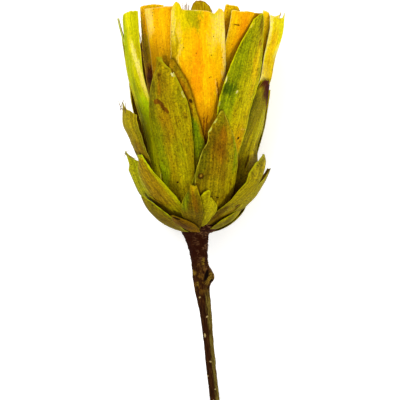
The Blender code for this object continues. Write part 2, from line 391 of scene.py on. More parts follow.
class Graph:
    """The node tree of one material, cleared down to its Principled shader."""

    def __init__(self, name):
        self.material = bpy.data.materials.new(name)
        self.material.use_nodes = True
        self.nodes = self.material.node_tree.nodes
        self.links = self.material.node_tree.links
        self.shader = self.nodes["Principled BSDF"]

    def add(self, kind, settings, values=(), out=0):
        """A node of this kind: its settings first, then its sockets' values or links."""
        node = self.nodes.new(kind)
        for title, value in settings.items():
            setattr(node, title, value)
        pairs = values.items() if isinstance(values, dict) else enumerate(values)
        for key, value in pairs:
            self.feed(node.inputs[key], value)
        return Signal(self, node.outputs[out])

    def feed(self, socket, value):
        """Links a signal to the socket, or sets a number, a vector or a colour code on it."""
        if isinstance(value, Signal):
            self.links.new(value.socket, socket)
        else:
            socket.default_value = tone(value) if isinstance(value, str) else value

    def attribute(self, title):
        return self.add("ShaderNodeAttribute", {"attribute_name": title}, (), "Vector")

    def spot(self):
        """The object's own coordinates, in metres."""
        return self.add("ShaderNodeTexCoord", {}, (), "Object")

    def math(self, operation, *values):
        return self.add("ShaderNodeMath", {"operation": operation}, values)

    def vector(self, operation, *values, out=0):
        return self.add("ShaderNodeVectorMath", {"operation": operation}, values, out)

    def scaled(self, vector, factors):
        return self.vector("MULTIPLY", vector, factors)

    def moved(self, vector, shift):
        return self.vector("ADD", vector, shift)

    def joined(self, x, y):
        return self.add("ShaderNodeCombineXYZ", {}, (x, y, 0.0))

    def noise(self, vector, scale, detail=2.0, roughness=0.5, out=0):
        """Fractal noise: its factor, or its colour as output 1."""
        values = {"Vector": vector, "Scale": scale, "Detail": detail, "Roughness": roughness}
        return self.add("ShaderNodeTexNoise", {}, values, out)

    def texture(self, vector, stretch, detail, roughness, out=0):
        """Noise on a vector that is stretched by three factors first."""
        return self.noise(self.scaled(vector, stretch), 1.0, detail, roughness, out)

    def cells(self, vector, stretch, scale, feature):
        values = {"Vector": self.scaled(vector, stretch), "Scale": scale}
        return self.add("ShaderNodeTexVoronoi", {"feature": feature}, values)

    def mix(self, factor, under, over, blend="MIX"):
        """Two colours mixed."""
        settings = {"data_type": "RGBA", "blend_type": blend}
        return self.add("ShaderNodeMix", settings, {0: factor, 6: under, 7: over}, 2)

    def bump(self, height, strength, distance):
        values = {"Height": height, "Strength": strength, "Distance": distance}
        return self.add("ShaderNodeBump", {}, values)

    def finish(self, colour, roughness, normal, specular):
        for title, value in (
            ("Base Color", colour),
            ("Roughness", roughness),
            ("Normal", normal),
            ("Specular IOR Level", specular),
        ):
            self.feed(self.shader.inputs[title], value)
        return self.material


class Paint:
    """A colour that takes further coats, each laid over it where its factor says."""

    def __init__(self, graph, colour):
        self.graph = graph
        self.colour = colour

    def coat(self, factor, colour, blend="MIX"):
        self.colour = self.graph.mix(factor, self.colour, colour, blend)


def tone(code):
    """A colour code of six hexadecimal digits as linear red, green, blue and alpha."""
    values = np.array([int(code[k : k + 2], 16) for k in (0, 2, 4)]) / 255.0
    linear = np.where(values <= 0.04045, values / 12.92, ((values + 0.055) / 1.055) ** 2.4)
    return (*linear.tolist(), 1.0)


# ---------------------------------------------------------------- what each bract looks like

# A soft patch of colour on a bract, or a mark with a crisp edge. Its colour; its middle, across
# from -1 at the left edge to 1 at the right and up from 0 at the root to 1 at the top; its half
# sizes the same way; its strength; and how far across it leans for each step up.
Patch = namedtuple("Patch", "colour across up wide tall strength lean", defaults=(0.8, 0.0))
Mark = namedtuple("Mark", Patch._fields, defaults=(0.9, 0.0))

LEVEL = ((0, 0), (1, 0))
LOOK_FIELDS = {
    "slot": "olive_bract",
    "body": "8F8208",
    "patches": (),
    # The margin colour is partly a bract's own pale rim and partly painted highlight along its
    # edge.
    "margin": "B8AE30",
    "margin_width": 0.5,
    "inner": "C99A3A",
    "crown": ((-1, 0), (1, 0)),  # rises of the top edge in millimetres, at places across
    "left": LEVEL,  # how far the left edge lies beyond the CAD's, at places up
    "right": LEVEL,
    "stand": LEVEL,  # how far the whole face stands out beyond the CAD's, at places up
    "bulge": 0.8,  # how far the middle stands out of the bowl
    "lift": 0.3,  # how far the tip does
    "left_out": LEVEL,  # how far the left edge does beyond the middle, at places up
    "right_out": LEVEL,
    "jag": 0.25,  # how ragged the top is
    "fray": 0.15,  # how ragged the sides are
    "fold": (0, 0),  # place across of a lengthwise fold, and its height
    "ribs": 0.05,  # height of the ribs
    "mottle": 0.5,  # how strong the broad brown flecks are
    "grit": 0.75,  # how strong the fine ones are
    # How strong the painted shade is beside a neighbour's edge.
    "nook": 0.7,  # how dark it is beside a neighbour's edge
}
Look = namedtuple("Look", LOOK_FIELDS, defaults=LOOK_FIELDS.values())
LOOKS = {}


def describe(name, slot, body, *patches, **rest):
    """Notes the look of one bract, or of a tier's bracts that have none of their own."""
    LOOKS[name] = Look(slot, body, patches, **rest)


describe(
    "inner_bract_front", "orange_bract", "FBB114",
    Patch("F0BA22", 0.75, 0.86, 0.4, 0.16), Patch("F79706", -0.02, 0.74, 0.22, 0.16),
    Patch("FFC33A", 0.17, 0.8, 0.06, 0.26, 0.7), Patch("E09B08", -0.45, 0.72, 0.3, 0.1, 0.6),
    Patch("E7BC1A", -0.5, 0.88, 0.4, 0.1, 0.7), Patch("D9C512", -0.45, 0.98, 0.5, 0.07, 0.9),
    Patch("B0A508", -0.12, 0.98, 0.28, 0.05, 1.0), Patch("A89708", 0.0, 0.935, 0.14, 0.05, 0.95),
    Patch("BFBA10", 0.62, 0.99, 0.2, 0.025, 0.9), Patch("E6D03A", -0.86, 0.96, 0.24, 0.08, 0.9),
    Patch("AE9506", -0.9, 0.84, 0.32, 0.1, 0.9), Patch("94740A", -0.95, 0.69, 0.36, 0.12, 0.9),
    Patch("8E7206", -0.7, 0.55, 0.4, 0.08), Patch("D28E0B", 0.2, 0.55, 0.5, 0.05, 0.7),
    Patch("B07808", 0.1, 0.49, 0.6, 0.06), Patch("7E5708", 0.1, 0.42, 1.2, 0.05, 0.9),
    Mark("7A4203", 0.74, 0.62, 0.025, 0.09, 0.8, -0.9),
    Mark("6B4006", 0.76, 0.957, 0.03, 0.022, 0.9, 0.9), Mark("F6E4B0", 0.93, 0.89, 0.05, 0.018),
    Patch("6A2C04", 0.3, 0.43, 0.22, 0.03), Mark("7A3604", 0.22, 0.49, 0.028, 0.07, 0.75),
    Mark("6A2A02", 0.34, 0.49, 0.028, 0.07, 0.8),
    # A loose pale fibre, with a painted shadow beside it.
    Mark("EDB868", 0.68, 0.64, 0.02, 0.075, 0.85, -1.4),
    Mark("7A4208", 0.73, 0.635, 0.025, 0.075, 0.7, -1.4),
    Patch("F8E27A", 0.85, 0.93, 0.35, 0.1, 0.75), Patch("F8DA66", 0.5, 0.9, 0.25, 0.12, 0.55),
    Patch("FADC88", 0.97, 0.76, 0.12, 0.2, 0.7), Patch("F2DC74", -0.9, 0.93, 0.14, 0.09),
    Patch("F6D468", -0.64, 0.84, 0.09, 0.14, 0.7), Patch("F4CC54", 0.3, 0.7, 0.05, 0.16, 0.5),
    margin="E9D076", jag=0.12, fold=(-0.6, 0.35), mottle=0.25, grit=0.3, nook=0.6,
    crown=(
        (-1, -0.5), (-0.94, 1.5), (-0.8, 3.5), (-0.64, 2.6), (-0.56, 0.1), (0.38, -0.4),
        (0.62, -1.4), (0.72, -0.3), (0.79, 0.9), (0.92, 0.5), (1, -0.6),
    ),
)
describe(
    "inner_bract_left", "orange_bract", "FBAF0E",
    Patch("FACF4C", -0.8, 0.95, 0.3, 0.16), Patch("F9BA20", -0.3, 0.93, 0.3, 0.12, 0.6),
    Patch("D39708", 0.0, 0.83, 1.2, 0.07, 0.7), Patch("B9880A", -0.2, 0.78, 1.2, 0.06),
    Patch("9A7610", 0.0, 0.71, 1.5, 0.08, 0.9), Patch("7A5D08", 0.0, 0.6, 1.6, 0.1, 0.9),
    Patch("FBD87C", -0.7, 0.96, 0.4, 0.09, 0.75), Patch("FAC850", 0.1, 0.93, 0.2, 0.08, 0.5),
    margin="E6C674", margin_width=0.7, crown=((-1, -0.3), (1, 0.6)), jag=0.15, mottle=0.3,
    grit=0.35, nook=0.5,
)
describe(
    "inner_bract_right", "orange_bract", "F6A90B",
    Patch("F3BC2A", -0.8, 0.88, 0.2, 0.2), Patch("F09404", -0.15, 0.93, 0.3, 0.08),
    Patch("F4B51A", 0.4, 0.95, 0.4, 0.06, 0.6), Patch("D9A512", -0.3, 0.76, 0.8, 0.08, 0.7),
    Patch("C19E0F", 0.0, 0.68, 1.4, 0.08), Mark("5A3204", -0.62, 0.94, 0.2, 0.0035),
    Patch("F8CC58", -0.9, 0.92, 0.12, 0.14, 0.6),
    margin="F4E07A", crown=((-1, 0), (-0.85, 0.5), (-0.5, 0.1), (-0.1, 0.3), (0.6, 0), (1, 0.3)),
    jag=0.2, mottle=0.3, grit=0.35, nook=0.5,
)
describe(
    "rim_bract_left", "orange_bract", "FFC424",
    Patch("B4AC20", -0.95, 0.88, 0.2, 0.05), Mark("5A3A0A", -0.6, 0.83, 0.04, 0.07, 0.7),
    Mark("5A3A0A", -0.8, 0.8, 0.04, 0.06, 0.7), Patch("B09A18", -0.7, 0.84, 0.6, 0.04, 0.85),
    # The dark maroon low down, 5E1E04 and 3E1502, is partly the bract's own colour and partly
    # painted shade of the gap it sits in.
    Patch("A08C1C", 0.0, 0.785, 1.6, 0.055, 0.85), Patch("5E1E04", 0.0, 0.69, 1.6, 0.065, 0.95),
    Patch("3E1502", 0.0, 0.56, 1.8, 0.12, 0.9), Patch("F2C04A", 0.1, 0.97, 1.0, 0.03, 0.5),
    Patch("EADC5A", -0.95, 0.945, 0.16, 0.06, 0.85), Patch("F8A81A", -0.6, 0.93, 0.16, 0.08, 0.7),
    margin="E9C050", crown=((-1, -0.4), (-0.8, 0.2), (0.2, 0.4), (1, 0)),
    left=((0, 0), (0.4, 3), (0.63, 4.6), (0.72, 4), (0.82, 3), (0.9, 1.2), (1, 0)), nook=0.0,
)
describe(
    "rim_bract_back", "olive_bract", "B48A0C",
    Patch("C2920C", 0.0, 0.95, 1.0, 0.08, 0.7),
    margin="7A4A12", margin_width=0.8, inner="CBAE14",
    crown=((-1, -5), (-0.85, -2.4), (-0.5, -0.8), (0, 0), (0.5, -0.4), (0.85, -1.8), (1, -4)),
    right=((0, -1.2), (1, -1.2)), nook=0.2,
)
describe(
    "rim_bract_front_right", "orange_bract", "F4C020",
    Patch("B9790D", -0.5, 0.89, 0.7, 0.06), Patch("D8A30C", 0.0, 0.76, 1.4, 0.1, 0.7),
    margin="EDD060", crown=((-1, 0.8), (0, 0.6), (0.6, 0.1), (1, -1.4)), jag=0.3, nook=0.3,
)
describe(
    "tall_bract_right", "green_bract", "A19C06",
    Patch("768406", -0.7, 0.8, 0.5, 0.16, 0.85), Patch("7C900A", -0.6, 0.6, 0.5, 0.12, 0.85),
    Patch("B7A206", 0.55, 0.84, 0.4, 0.12, 0.7), Patch("C3B10C", 0.45, 0.69, 0.5, 0.1, 0.7),
    Patch("B9A70C", 0.3, 0.54, 0.8, 0.08), Patch("BC9C0C", 0.4, 0.45, 0.8, 0.08),
    Patch("B29410", 0.2, 0.37, 1.0, 0.05, 0.7), Patch("9B8406", 0.7, 0.93, 0.4, 0.05, 0.7),
    Patch("584912", 0.1, 1.0, 1.0, 0.02, 0.7), Patch("3E5406", -0.8, 0.675, 0.45, 0.035, 0.9),
    Mark("6B4A10", 0.55, 0.875, 0.2, 0.018, 0.8), Mark("E6DAA8", -1.0, 0.71, 0.08, 0.02, 0.85),
    Mark("D5C366", -0.9, 0.96, 0.25, 0.012, 0.7), Patch("CC9C08", 0.5, 0.43, 0.6, 0.06),
    Mark("DDD89A", -1.0, 0.6, 0.08, 0.016, 0.85), Mark("E8DC9A", -0.3, 0.66, 0.04, 0.006, 0.8),
    Mark("3A2203", 0.5, 0.46, 0.08, 0.007, 0.95), Mark("4A2C03", 0.75, 0.445, 0.05, 0.005),
    Mark("D8B070", 0.75, 0.5, 0.3, 0.003, 0.6), Patch("DEB60A", 0.45, 0.775, 0.28, 0.09, 0.75),
    Patch("7A6804", 0.4, 0.945, 0.35, 0.045, 0.75), Patch("5E6C04", -0.9, 0.585, 0.2, 0.05, 0.7),
    Patch("6C7804", -0.5, 0.75, 0.3, 0.05, 0.6), Patch("E0BC08", 0.55, 0.72, 0.2, 0.08, 0.6),
    Patch("DCC010", 0.75, 0.6, 0.15, 0.05, 0.6),
    margin="D4D02C", margin_width=0.8,
    crown=((-1, -2.4), (-0.5, -0.2), (0.1, 0.4), (0.6, -0.2), (1, -1.6)),
    right=((0, 0), (0.3, 0), (0.45, -1.0), (0.57, -2.2), (0.66, -1.2), (0.75, -0.5), (1, 0)),
    jag=0.35, mottle=0.6,
)
describe(
    "tall_bract_left", "yellow_bract", "BFBC10",
    Patch("EAE40E", 0.1, 0.97, 0.6, 0.05, 0.9), Patch("D0CE1C", 0.6, 0.95, 0.4, 0.06, 0.7),
    Patch("9AAE04", -0.6, 0.9, 0.35, 0.1, 0.85), Mark("A0A00A", 0.35, 0.93, 0.04, 0.07, 0.6),
    Patch("E0D81C", 0.0, 0.87, 0.4, 0.06, 0.7), Patch("C6B412", 0.5, 0.83, 0.4, 0.05, 0.6),
    Patch("F4E884", 0.57, 0.76, 0.27, 0.14, 1.0, -3.6),
    Patch("F0D870", 0.75, 0.69, 0.3, 0.08, 0.8, -2.0), Patch("A9B408", -0.5, 0.74, 0.5, 0.1),
    Patch("7E8A04", -0.1, 0.66, 0.4, 0.07, 0.7), Patch("AAC60A", 0.3, 0.57, 1.2, 0.08, 0.95),
    Patch("B8C20A", 0.2, 0.43, 1.4, 0.12, 0.95), Patch("8E9A06", -0.6, 0.5, 0.5, 0.12, 0.7),
    margin="E4DC5A",
    crown=((-1, -2.6), (-0.75, -0.9), (-0.4, 0), (0.2, 0.5), (0.45, 0.7), (0.8, 0.5), (1, 0.2)),
    left=((0, 0), (0.5, 0.8), (0.62, 1.4), (0.74, 1.0), (0.9, 0), (1, 0)),
    right=((0, 0), (0.3, 1), (0.5, -0.6), (0.62, -1.6), (0.74, -1.6), (0.9, -1.6), (1, -0.8)),
    fold=(0.15, 0.4), ribs=0.12, mottle=0.3, grit=0.4, nook=0.2,
)
describe(
    "rim_sliver_left", "green_bract", "AEBE3C",
    margin="D6DC8A", inner="C4CC6A", right=((0, 0), (0.85, 0), (0.9, -0.8), (1, -1.0)),
    stand=((0, 0), (0.8, 0), (0.92, 0.7), (1, 1.2)), fray=0.2,
)
describe(
    "narrow_bract_left", "olive_bract", "8A7412",
    Patch("C0B41A", -0.2, 0.97, 1.4, 0.08, 0.9), Patch("94801A", 0.3, 0.87, 1.2, 0.05),
    # The dark maroon low down, 481503 and 3E1502, is partly the bract's own colour and partly
    # painted shade of the gap it sits in.
    Patch("6B4A10", 0.0, 0.79, 1.6, 0.05, 0.85), Patch("481503", 0.0, 0.68, 2.4, 0.1, 0.95),
    Patch("3E1502", 0.0, 0.55, 2.4, 0.12, 0.9), Mark("2E1403", 0.3, 0.86, 0.06, 0.12, 0.8),
    margin="A89A30",
    left=((0, 0), (0.5, 4), (0.63, 6), (0.72, 6.4), (0.82, 5.6), (0.9, 4), (1, 1.6)), nook=0.2,
)
describe(
    "rim_bract_far_left", "yellow_bract", "C6B81E",
    Patch("8A7A14", 0.0, 0.8, 2.0, 0.1), Patch("4A2A06", 0.0, 0.66, 2.0, 0.12, 0.9),
    margin="D8CF50", nook=0.2,
)
describe(
    "middle_bract_front_left", "olive_bract", "9A860A",
    Patch("887506", 0.0, 0.95, 0.9, 0.06, 0.6), Patch("836A08", 0.1, 0.86, 0.5, 0.07, 0.6),
    Patch("605E04", -0.8, 0.78, 0.45, 0.12, 0.85), Patch("788104", -0.75, 0.6, 0.45, 0.12),
    Patch("849006", -0.75, 0.42, 0.45, 0.16, 0.85), Patch("A09205", 0.5, 0.62, 0.45, 0.12),
    Patch("9B9204", 0.4, 0.42, 0.5, 0.12), Patch("9D710A", -0.05, 0.66, 0.3, 0.08, 0.5),
    Patch("7E7506", 0.2, 0.28, 1.0, 0.08, 0.7), Patch("878405", 0.8, 0.78, 0.3, 0.1, 0.6),
    Patch("966608", -0.15, 0.84, 0.14, 0.05, 0.7), Mark("653A02", -0.42, 0.762, 0.2, 0.016),
    Mark("653A02", -0.16, 0.752, 0.15, 0.02, 0.9, -6.0),
    Mark("653A02", -0.02, 0.722, 0.13, 0.026, 0.9, -6.0),
    Mark("654705", 0.0, 0.905, 0.2, 0.01, 0.7), Mark("1B1102", 0.38, 0.53, 0.05, 0.005, 1.0),
    Mark("1B1102", -0.08, 0.32, 0.06, 0.006, 1.0), Mark("E0D7A0", 0.97, 0.905, 0.16, 0.012, 0.95),
    Mark("D9CF8C", 1.0, 0.8, 0.09, 0.02, 0.8), Patch("9AB206", -0.85, 0.35, 0.35, 0.1, 0.95),
    Patch("9C9A08", 0.3, 0.5, 0.5, 0.06, 0.6), Patch("A8A00A", 0.35, 0.36, 0.3, 0.05, 0.6),
    Patch("665E04", -0.2, 0.3, 0.2, 0.04, 0.5),
    margin="A0982C", margin_width=0.8, jag=0.1, nook=0.35, mottle=0.85,
    left=(
        (0, 0), (0.5, 0), (0.62, 0.6), (0.75, 0.3), (0.9, -0.2), (0.94, -1.1), (0.975, -1.4),
        (1, -1.1),
    ),
    right=(
        (0, -1.6), (0.5, -1.6), (0.59, -0.9), (0.64, 0), (0.72, 1.7), (0.77, 2.6), (0.86, 3.1),
        (0.93, 3.3), (0.95, 1.8), (0.975, 1.1), (1, 1.9),
    ),
)
describe(
    "middle_bract_behind", "olive_bract", "A07A08",
    Patch("8E7A0A", 0.6, 0.93, 0.5, 0.05, 0.7), Patch("A2640A", 0.4, 0.84, 0.4, 0.08, 0.7),
    Patch("6E8A08", 0.55, 0.63, 0.35, 0.08, 0.95), Patch("72880A", 0.6, 0.52, 0.5, 0.1, 0.9),
    Patch("AE960C", 0.95, 0.7, 0.16, 0.07), Patch("6E6C02", 0.5, 0.4, 0.6, 0.08),
    Mark("2E1C03", 0.82, 0.772, 0.1, 0.012, 0.95),
    # The margin here is a dark painted shadow line along the right edge.
    margin="7A6408",
    right=(
        (0, -0.7), (0.61, -0.7), (0.71, -0.4), (0.763, 0.35), (0.835, 1.3), (0.889, 1.6),
        (0.957, 1.0), (1, 0.3),
    ),
)
describe(
    "middle_bract_front", "olive_bract", "806A07",
    Patch("858016", -0.3, 0.95, 0.9, 0.06, 0.7), Patch("A68C0A", 0.75, 0.82, 0.35, 0.1),
    Patch("57480A", -0.7, 0.76, 0.4, 0.1), Patch("4A5606", -0.95, 0.6, 0.35, 0.14, 0.95),
    Patch("8A5F0C", -0.1, 0.74, 0.5, 0.12, 0.6), Patch("686008", -0.8, 0.58, 0.4, 0.12),
    Patch("9A9208", 0.5, 0.66, 0.4, 0.1, 0.6), Patch("A89A0A", 0.75, 0.48, 0.45, 0.14),
    Patch("857A06", -0.2, 0.4, 0.6, 0.12, 0.7), Patch("A08C08", 0.3, 0.26, 0.6, 0.1, 0.7),
    Mark("3E2403", -0.78, 0.511, 0.13, 0.024), Mark("9A7A3A", -0.78, 0.514, 0.055, 0.01),
    Mark("241703", 0.08, 0.34, 0.1, 0.008), Patch("94640A", 0.1, 0.83, 0.35, 0.06),
    Patch("8A6208", 0.05, 0.68, 0.4, 0.08, 0.6), Patch("7E8A0A", 0.85, 0.68, 0.16, 0.16, 0.9),
    Mark("C4CC8A", -1.0, 0.92, 0.2, 0.016, 0.7), Mark("BCC47A", -1.0, 0.855, 0.12, 0.02, 0.7),
    Patch("B89A0C", -0.05, 0.12, 0.4, 0.06, 0.6),
    margin="B9B040", right=((0, 0), (0.55, 0.2), (0.7, 1.0), (0.8, 0.9), (0.92, 0.3), (1, 0)),
    mottle=0.95,
    left=(
        (0, 0), (0.3, 0.7), (0.55, 1.3), (0.7, 0.9), (0.76, 0), (0.8, 0.4), (0.84, 1.6), (0.9, 1.1),
        (1, 0.3),
    ),
)
describe(
    "middle_bract_right", "olive_bract", "877B0A",
    Patch("6A6606", -0.6, 0.66, 0.5, 0.16, 0.75), Patch("ADA51A", 0.45, 0.72, 0.4, 0.12),
    # The dark browns 5A3208 and 4A2805 low down are partly the bract's own brown and partly painted
    # shade.
    Patch("B8A63A", 0.42, 0.48, 0.22, 0.1, 0.9), Patch("5A3208", -0.4, 0.43, 0.5, 0.1, 0.9),
    Patch("4A2805", -0.2, 0.28, 1.0, 0.1, 0.9), Patch("4A1C06", 0.3, 0.95, 0.9, 0.05),
    Patch("4A1A06", 0.1, 0.985, 1.6, 0.045, 1.0), Patch("3E1003", 0.5, 0.94, 0.8, 0.1, 1.0),
    Mark("5A2A08", 0.7, 0.86, 0.3, 0.02, 0.8), Mark("CDB45A", 0.44, 0.5, 0.13, 0.04),
    Mark("3E1C05", 0.26, 0.49, 0.05, 0.05, 0.8), Patch("565204", -0.75, 0.83, 0.35, 0.1),
    Patch("606004", -0.7, 0.69, 0.3, 0.1, 0.75), Patch("6A6406", -0.3, 0.56, 0.3, 0.05, 0.6),
    margin="A79C2C", crown=((-1, -2.5), (-0.6, 0), (-0.2, -0.8), (0.3, 0.6), (0.7, 0.2), (1, -1)),
    right=((0, 1), (0.3, 6), (0.45, 8), (0.6, 7.5), (0.72, 5), (0.85, 2), (1, 0)), jag=0.5,
    nook=0.4,
    right_out=(
        (0, 1), (0.2, 3.5), (0.4, 6), (0.5, 6), (0.55, 4.8), (0.6, 3.9), (0.7, 3.1), (0.8, 1.5),
        (0.9, 0.8), (1, 0.6),
    ),
)
describe(
    "middle_bract_left", "olive_bract", "8E7E08",
    Patch("B6AE1C", -0.9, 0.88, 0.4, 0.14), Patch("9E9208", 0.2, 0.9, 0.6, 0.08, 0.6),
    # The patch 6E6A04 on the right part is painted shadow beside the neighbouring bract's edge.
    Patch("7A5E06", 0.3, 0.66, 0.7, 0.08, 0.7), Patch("6E6A04", 0.8, 0.76, 0.3, 0.2),
    Patch("8F9018", -0.7, 0.6, 0.5, 0.1, 0.7),
    margin="C4BC4A",
    stand=((0, 0), (0.5, 0.5), (0.6, 1.5), (0.66, 2.5), (0.72, 2.8), (0.8, 1.2), (0.9, 0), (1, -1)),
    left=((0, 0), (0.55, 1.0), (0.68, 2.0), (0.8, 0.6), (1, 0)),
    right=((0, -1), (0.25, -4.5), (0.5, -5.5), (0.75, -4.6), (0.88, -1), (1, 0)),
    crown=((-1, 1.5), (-0.6, 1.2), (-0.2, -0.3), (0.2, -2.0), (0.7, -3.6), (1, -4.6)), jag=0.6,
    fray=0.3, bulge=0.4,
)
describe(
    "lower_bract_left", "green_bract", "90900F",
    Patch("A2A428", -0.6, 0.9, 0.6, 0.1, 0.7), Patch("6E6E10", 0.5, 0.6, 0.6, 0.3, 0.7),
    margin="B4B43A",
    crown=((-1, 0.8), (-0.85, 0.6), (-0.6, -1.5), (-0.3, -3.2), (0.2, -5.5), (1, -7.5)),
    left=((0, 0), (0.6, 0.6), (0.8, 0), (1, -1)),
    left_out=((0, 0), (0.4, 1.8), (0.54, 3.8), (0.71, 5.1), (0.81, 6), (0.9, 4.2), (1, 1.7)),
    jag=0.6, fray=0.3,
)
describe(
    "lower_bract_front_left", "olive_scale", "887408",
    Patch("9B9C34", -0.1, 0.98, 0.9, 0.05), Patch("90720A", 0.0, 0.72, 0.5, 0.2, 0.7),
    Patch("B4B61C", 0.9, 0.78, 0.35, 0.18, 0.95), Patch("B0AE12", 0.85, 0.52, 0.4, 0.18, 0.95),
    Patch("8C9010", -0.9, 0.62, 0.3, 0.25, 0.6), Patch("785E04", -0.3, 0.5, 0.4, 0.14, 0.6),
    Patch("8E8A06", 0.2, 0.3, 0.8, 0.12, 0.7), Mark("281602", -0.62, 0.5, 0.035, 0.07, 0.9, -2.8),
    margin="B4C424", margin_width=0.7, crown=((-1, -1), (1, -0.6)),
    left=((0, 0), (0.2, 1.5), (0.4, 3), (0.6, 3.5), (0.8, 3), (0.92, 1.5), (1, -1.5)),
    right=((0, 0), (0.2, -1.5), (0.4, -3.2), (0.6, -3.6), (0.8, -2), (0.92, 0.5), (1, 2.5)),
    stand=((0, 0), (0.6, 0.3), (0.85, 1), (1, 0.3)), fray=0.35, mottle=0.7,
)
describe(
    "basal_scale_left", "olive_scale", "6E620A",
    Patch("8F8E14", -0.7, 0.75, 0.4, 0.25), Patch("5F4A06", 0.4, 0.4, 0.6, 0.3, 0.6),
    margin="9CA01E", left=((0, 0), (0.5, 0), (1, -0.8)), crown=((-1, -0.8), (1, -0.8)), lift=0,
    right=((0, 0), (0.3, 1.2), (0.6, 3), (0.85, 3.4), (1, 1.2)), fray=0.3, mottle=0.7,
)
describe(
    "basal_scale_front_left", "olive_scale", "674C0D",
    Patch("482A04", -0.2, 0.5, 0.5, 0.3, 0.6), Mark("1A0901", 0.5, 0.93, 0.4, 0.1, 0.95),
    margin="7F681C", mottle=0.7,
)
describe(
    "basal_scale_front", "olive_scale", "685808",
    Patch("917D0E", 0.3, 0.95, 0.7, 0.1), Patch("805B08", 0.3, 0.75, 0.3, 0.25),
    Patch("564506", 0.0, 0.25, 1.0, 0.2, 0.7), Patch("637008", -0.7, 0.75, 0.4, 0.2, 0.85),
    margin="97861E", crown=((-1, -0.7), (-0.4, 0.2), (0.2, 0.5), (1, -0.5)),
    left=((0, 0), (0.6, 0.8), (0.756, 0.4), (0.85, 0), (0.95, -0.7), (1, -1.0)),
    right=((0, -1), (0.44, -1), (0.6, -0.55), (0.756, 0.4), (0.845, 1.1), (0.95, 2.0), (1, 2.2)),
    jag=0.9, fray=0.3, mottle=0.7,
)
describe(
    "basal_scale_front_right", "green_bract", "9A900B",
    Patch("B2A812", 0.5, 0.75, 0.4, 0.2, 0.7), Patch("857808", -0.5, 0.4, 0.6, 0.25, 0.7),
    Mark("1C1202", 0.3, 0.93, 0.1, 0.03, 1.0),
    margin="B8B41E", crown=((-1, -0.6), (-0.6, 0.6), (0, -0.6), (1, -2.2)),
    left=((0, 0), (0.7, 0.4), (1, 1.8)), fray=0.3,
    right=(
        (0, -0.6), (0.41, -1.1), (0.5, -0.4), (0.62, 0.4), (0.7, 0.9), (0.78, 0.2), (0.9, -1.2),
        (1, -1.8),
    ),
)
describe(
    "lower_bract_front", "green_bract", "7C7A08",
    Patch("626409", 0.4, 0.9, 0.7, 0.12), Patch("4E3C03", -0.2, 0.62, 0.6, 0.1, 0.7),
    margin="A0A020",
)
describe(
    "lower_bract_front_right", "green_bract", "8D8010",
    Patch("635F09", -0.8, 0.97, 0.7, 0.06, 0.7), Patch("9A8E08", 0.3, 0.75, 0.5, 0.15, 0.7),
    # The patch 453005 low on the left is a painted shadow.
    Patch("453005", -0.5, 0.3, 0.6, 0.16, 0.85), Patch("543D06", 0.1, 0.16, 1.0, 0.14),
    Patch("73590A", 0.8, 0.3, 0.5, 0.12, 0.7), Mark("452608", 0.45, 0.42, 0.2, 0.03),
    margin="A6A32C", fray=0.25, mottle=0.6,
    left=(
        (0, 0), (0.3, -1), (0.4, -2.2), (0.5, -1.5), (0.6, 0), (0.7, 0.5), (0.8, 4.6), (0.9, 6.8),
        (0.96, 5.2), (1, 1.2),
    ),
    right=(
        (0, 0), (0.3, -1), (0.4, -1.9), (0.5, -3.4), (0.6, -3.8), (0.7, -4.4), (0.8, -1.5),
        (0.9, 0), (1, 0),
    ),
    stand=(
        (0, 0), (0.3, 0.5), (0.45, 1.2), (0.6, 2.4), (0.7, 2.6), (0.85, 2.8), (0.93, 2.4), (1, 1),
    ),
)
describe(
    "lower_bract_right", "green_bract", "8F8412",
    Patch("9C9114", -0.3, 0.8, 0.6, 0.2, 0.6), Patch("574C08", 0.2, 0.4, 1.0, 0.2, 0.6),
    margin="ABA43A", crown=((-1, -2), (1, -2)),
    left=((0, 0), (0.3, 2), (0.5, 3.5), (0.7, 4), (0.9, 3), (1, 1)), jag=0.5, fray=0.3,
    stand=(
        (0, 0.5), (0.2, 1.5), (0.4, 3), (0.5, 3.8), (0.6, 5.3), (0.7, 6.5), (0.8, 7.7), (0.9, 8.4),
        (1, 9),
    ),
)
describe(
    "basal_scale_right", "olive_scale", "807A10",
    Patch("96860F", 0.3, 0.8, 0.7, 0.2, 0.6), Patch("5A4C08", -0.5, 0.4, 0.6, 0.3, 0.6),
    margin="9C9420", left=((0, 0), (0.3, 1.2), (0.6, 2.6), (0.85, 3), (1, 1)),
    stand=((0, 0), (0.6, -0.2), (1, -1)), bulge=0.3, lift=0, fray=0.25, mottle=0.7,
)
describe(
    "rim_bract_pale_right", "yellow_bract", "FFD24A",
    Patch("F0E85A", 0.6, 0.92, 0.3, 0.1), Patch("B89408", 0.0, 0.72, 1.6, 0.06, 0.9),
    margin="F6EBA6", crown=((-1, 0.8), (-0.2, 0.3), (0.2, -2.2), (0.5, -1.0), (1, 0.2)),
    right=((0, 0), (0.6, 1), (0.8, 6), (0.9, 6), (0.96, 4.5), (1, 2.5)),
    right_out=((0, 0), (0.65, 0), (0.85, 2.6), (1, 2.2)),
    stand=((0, 0), (0.7, 0), (0.85, 1.2), (1, 1.4)), nook=0.0, grit=0.3,
)
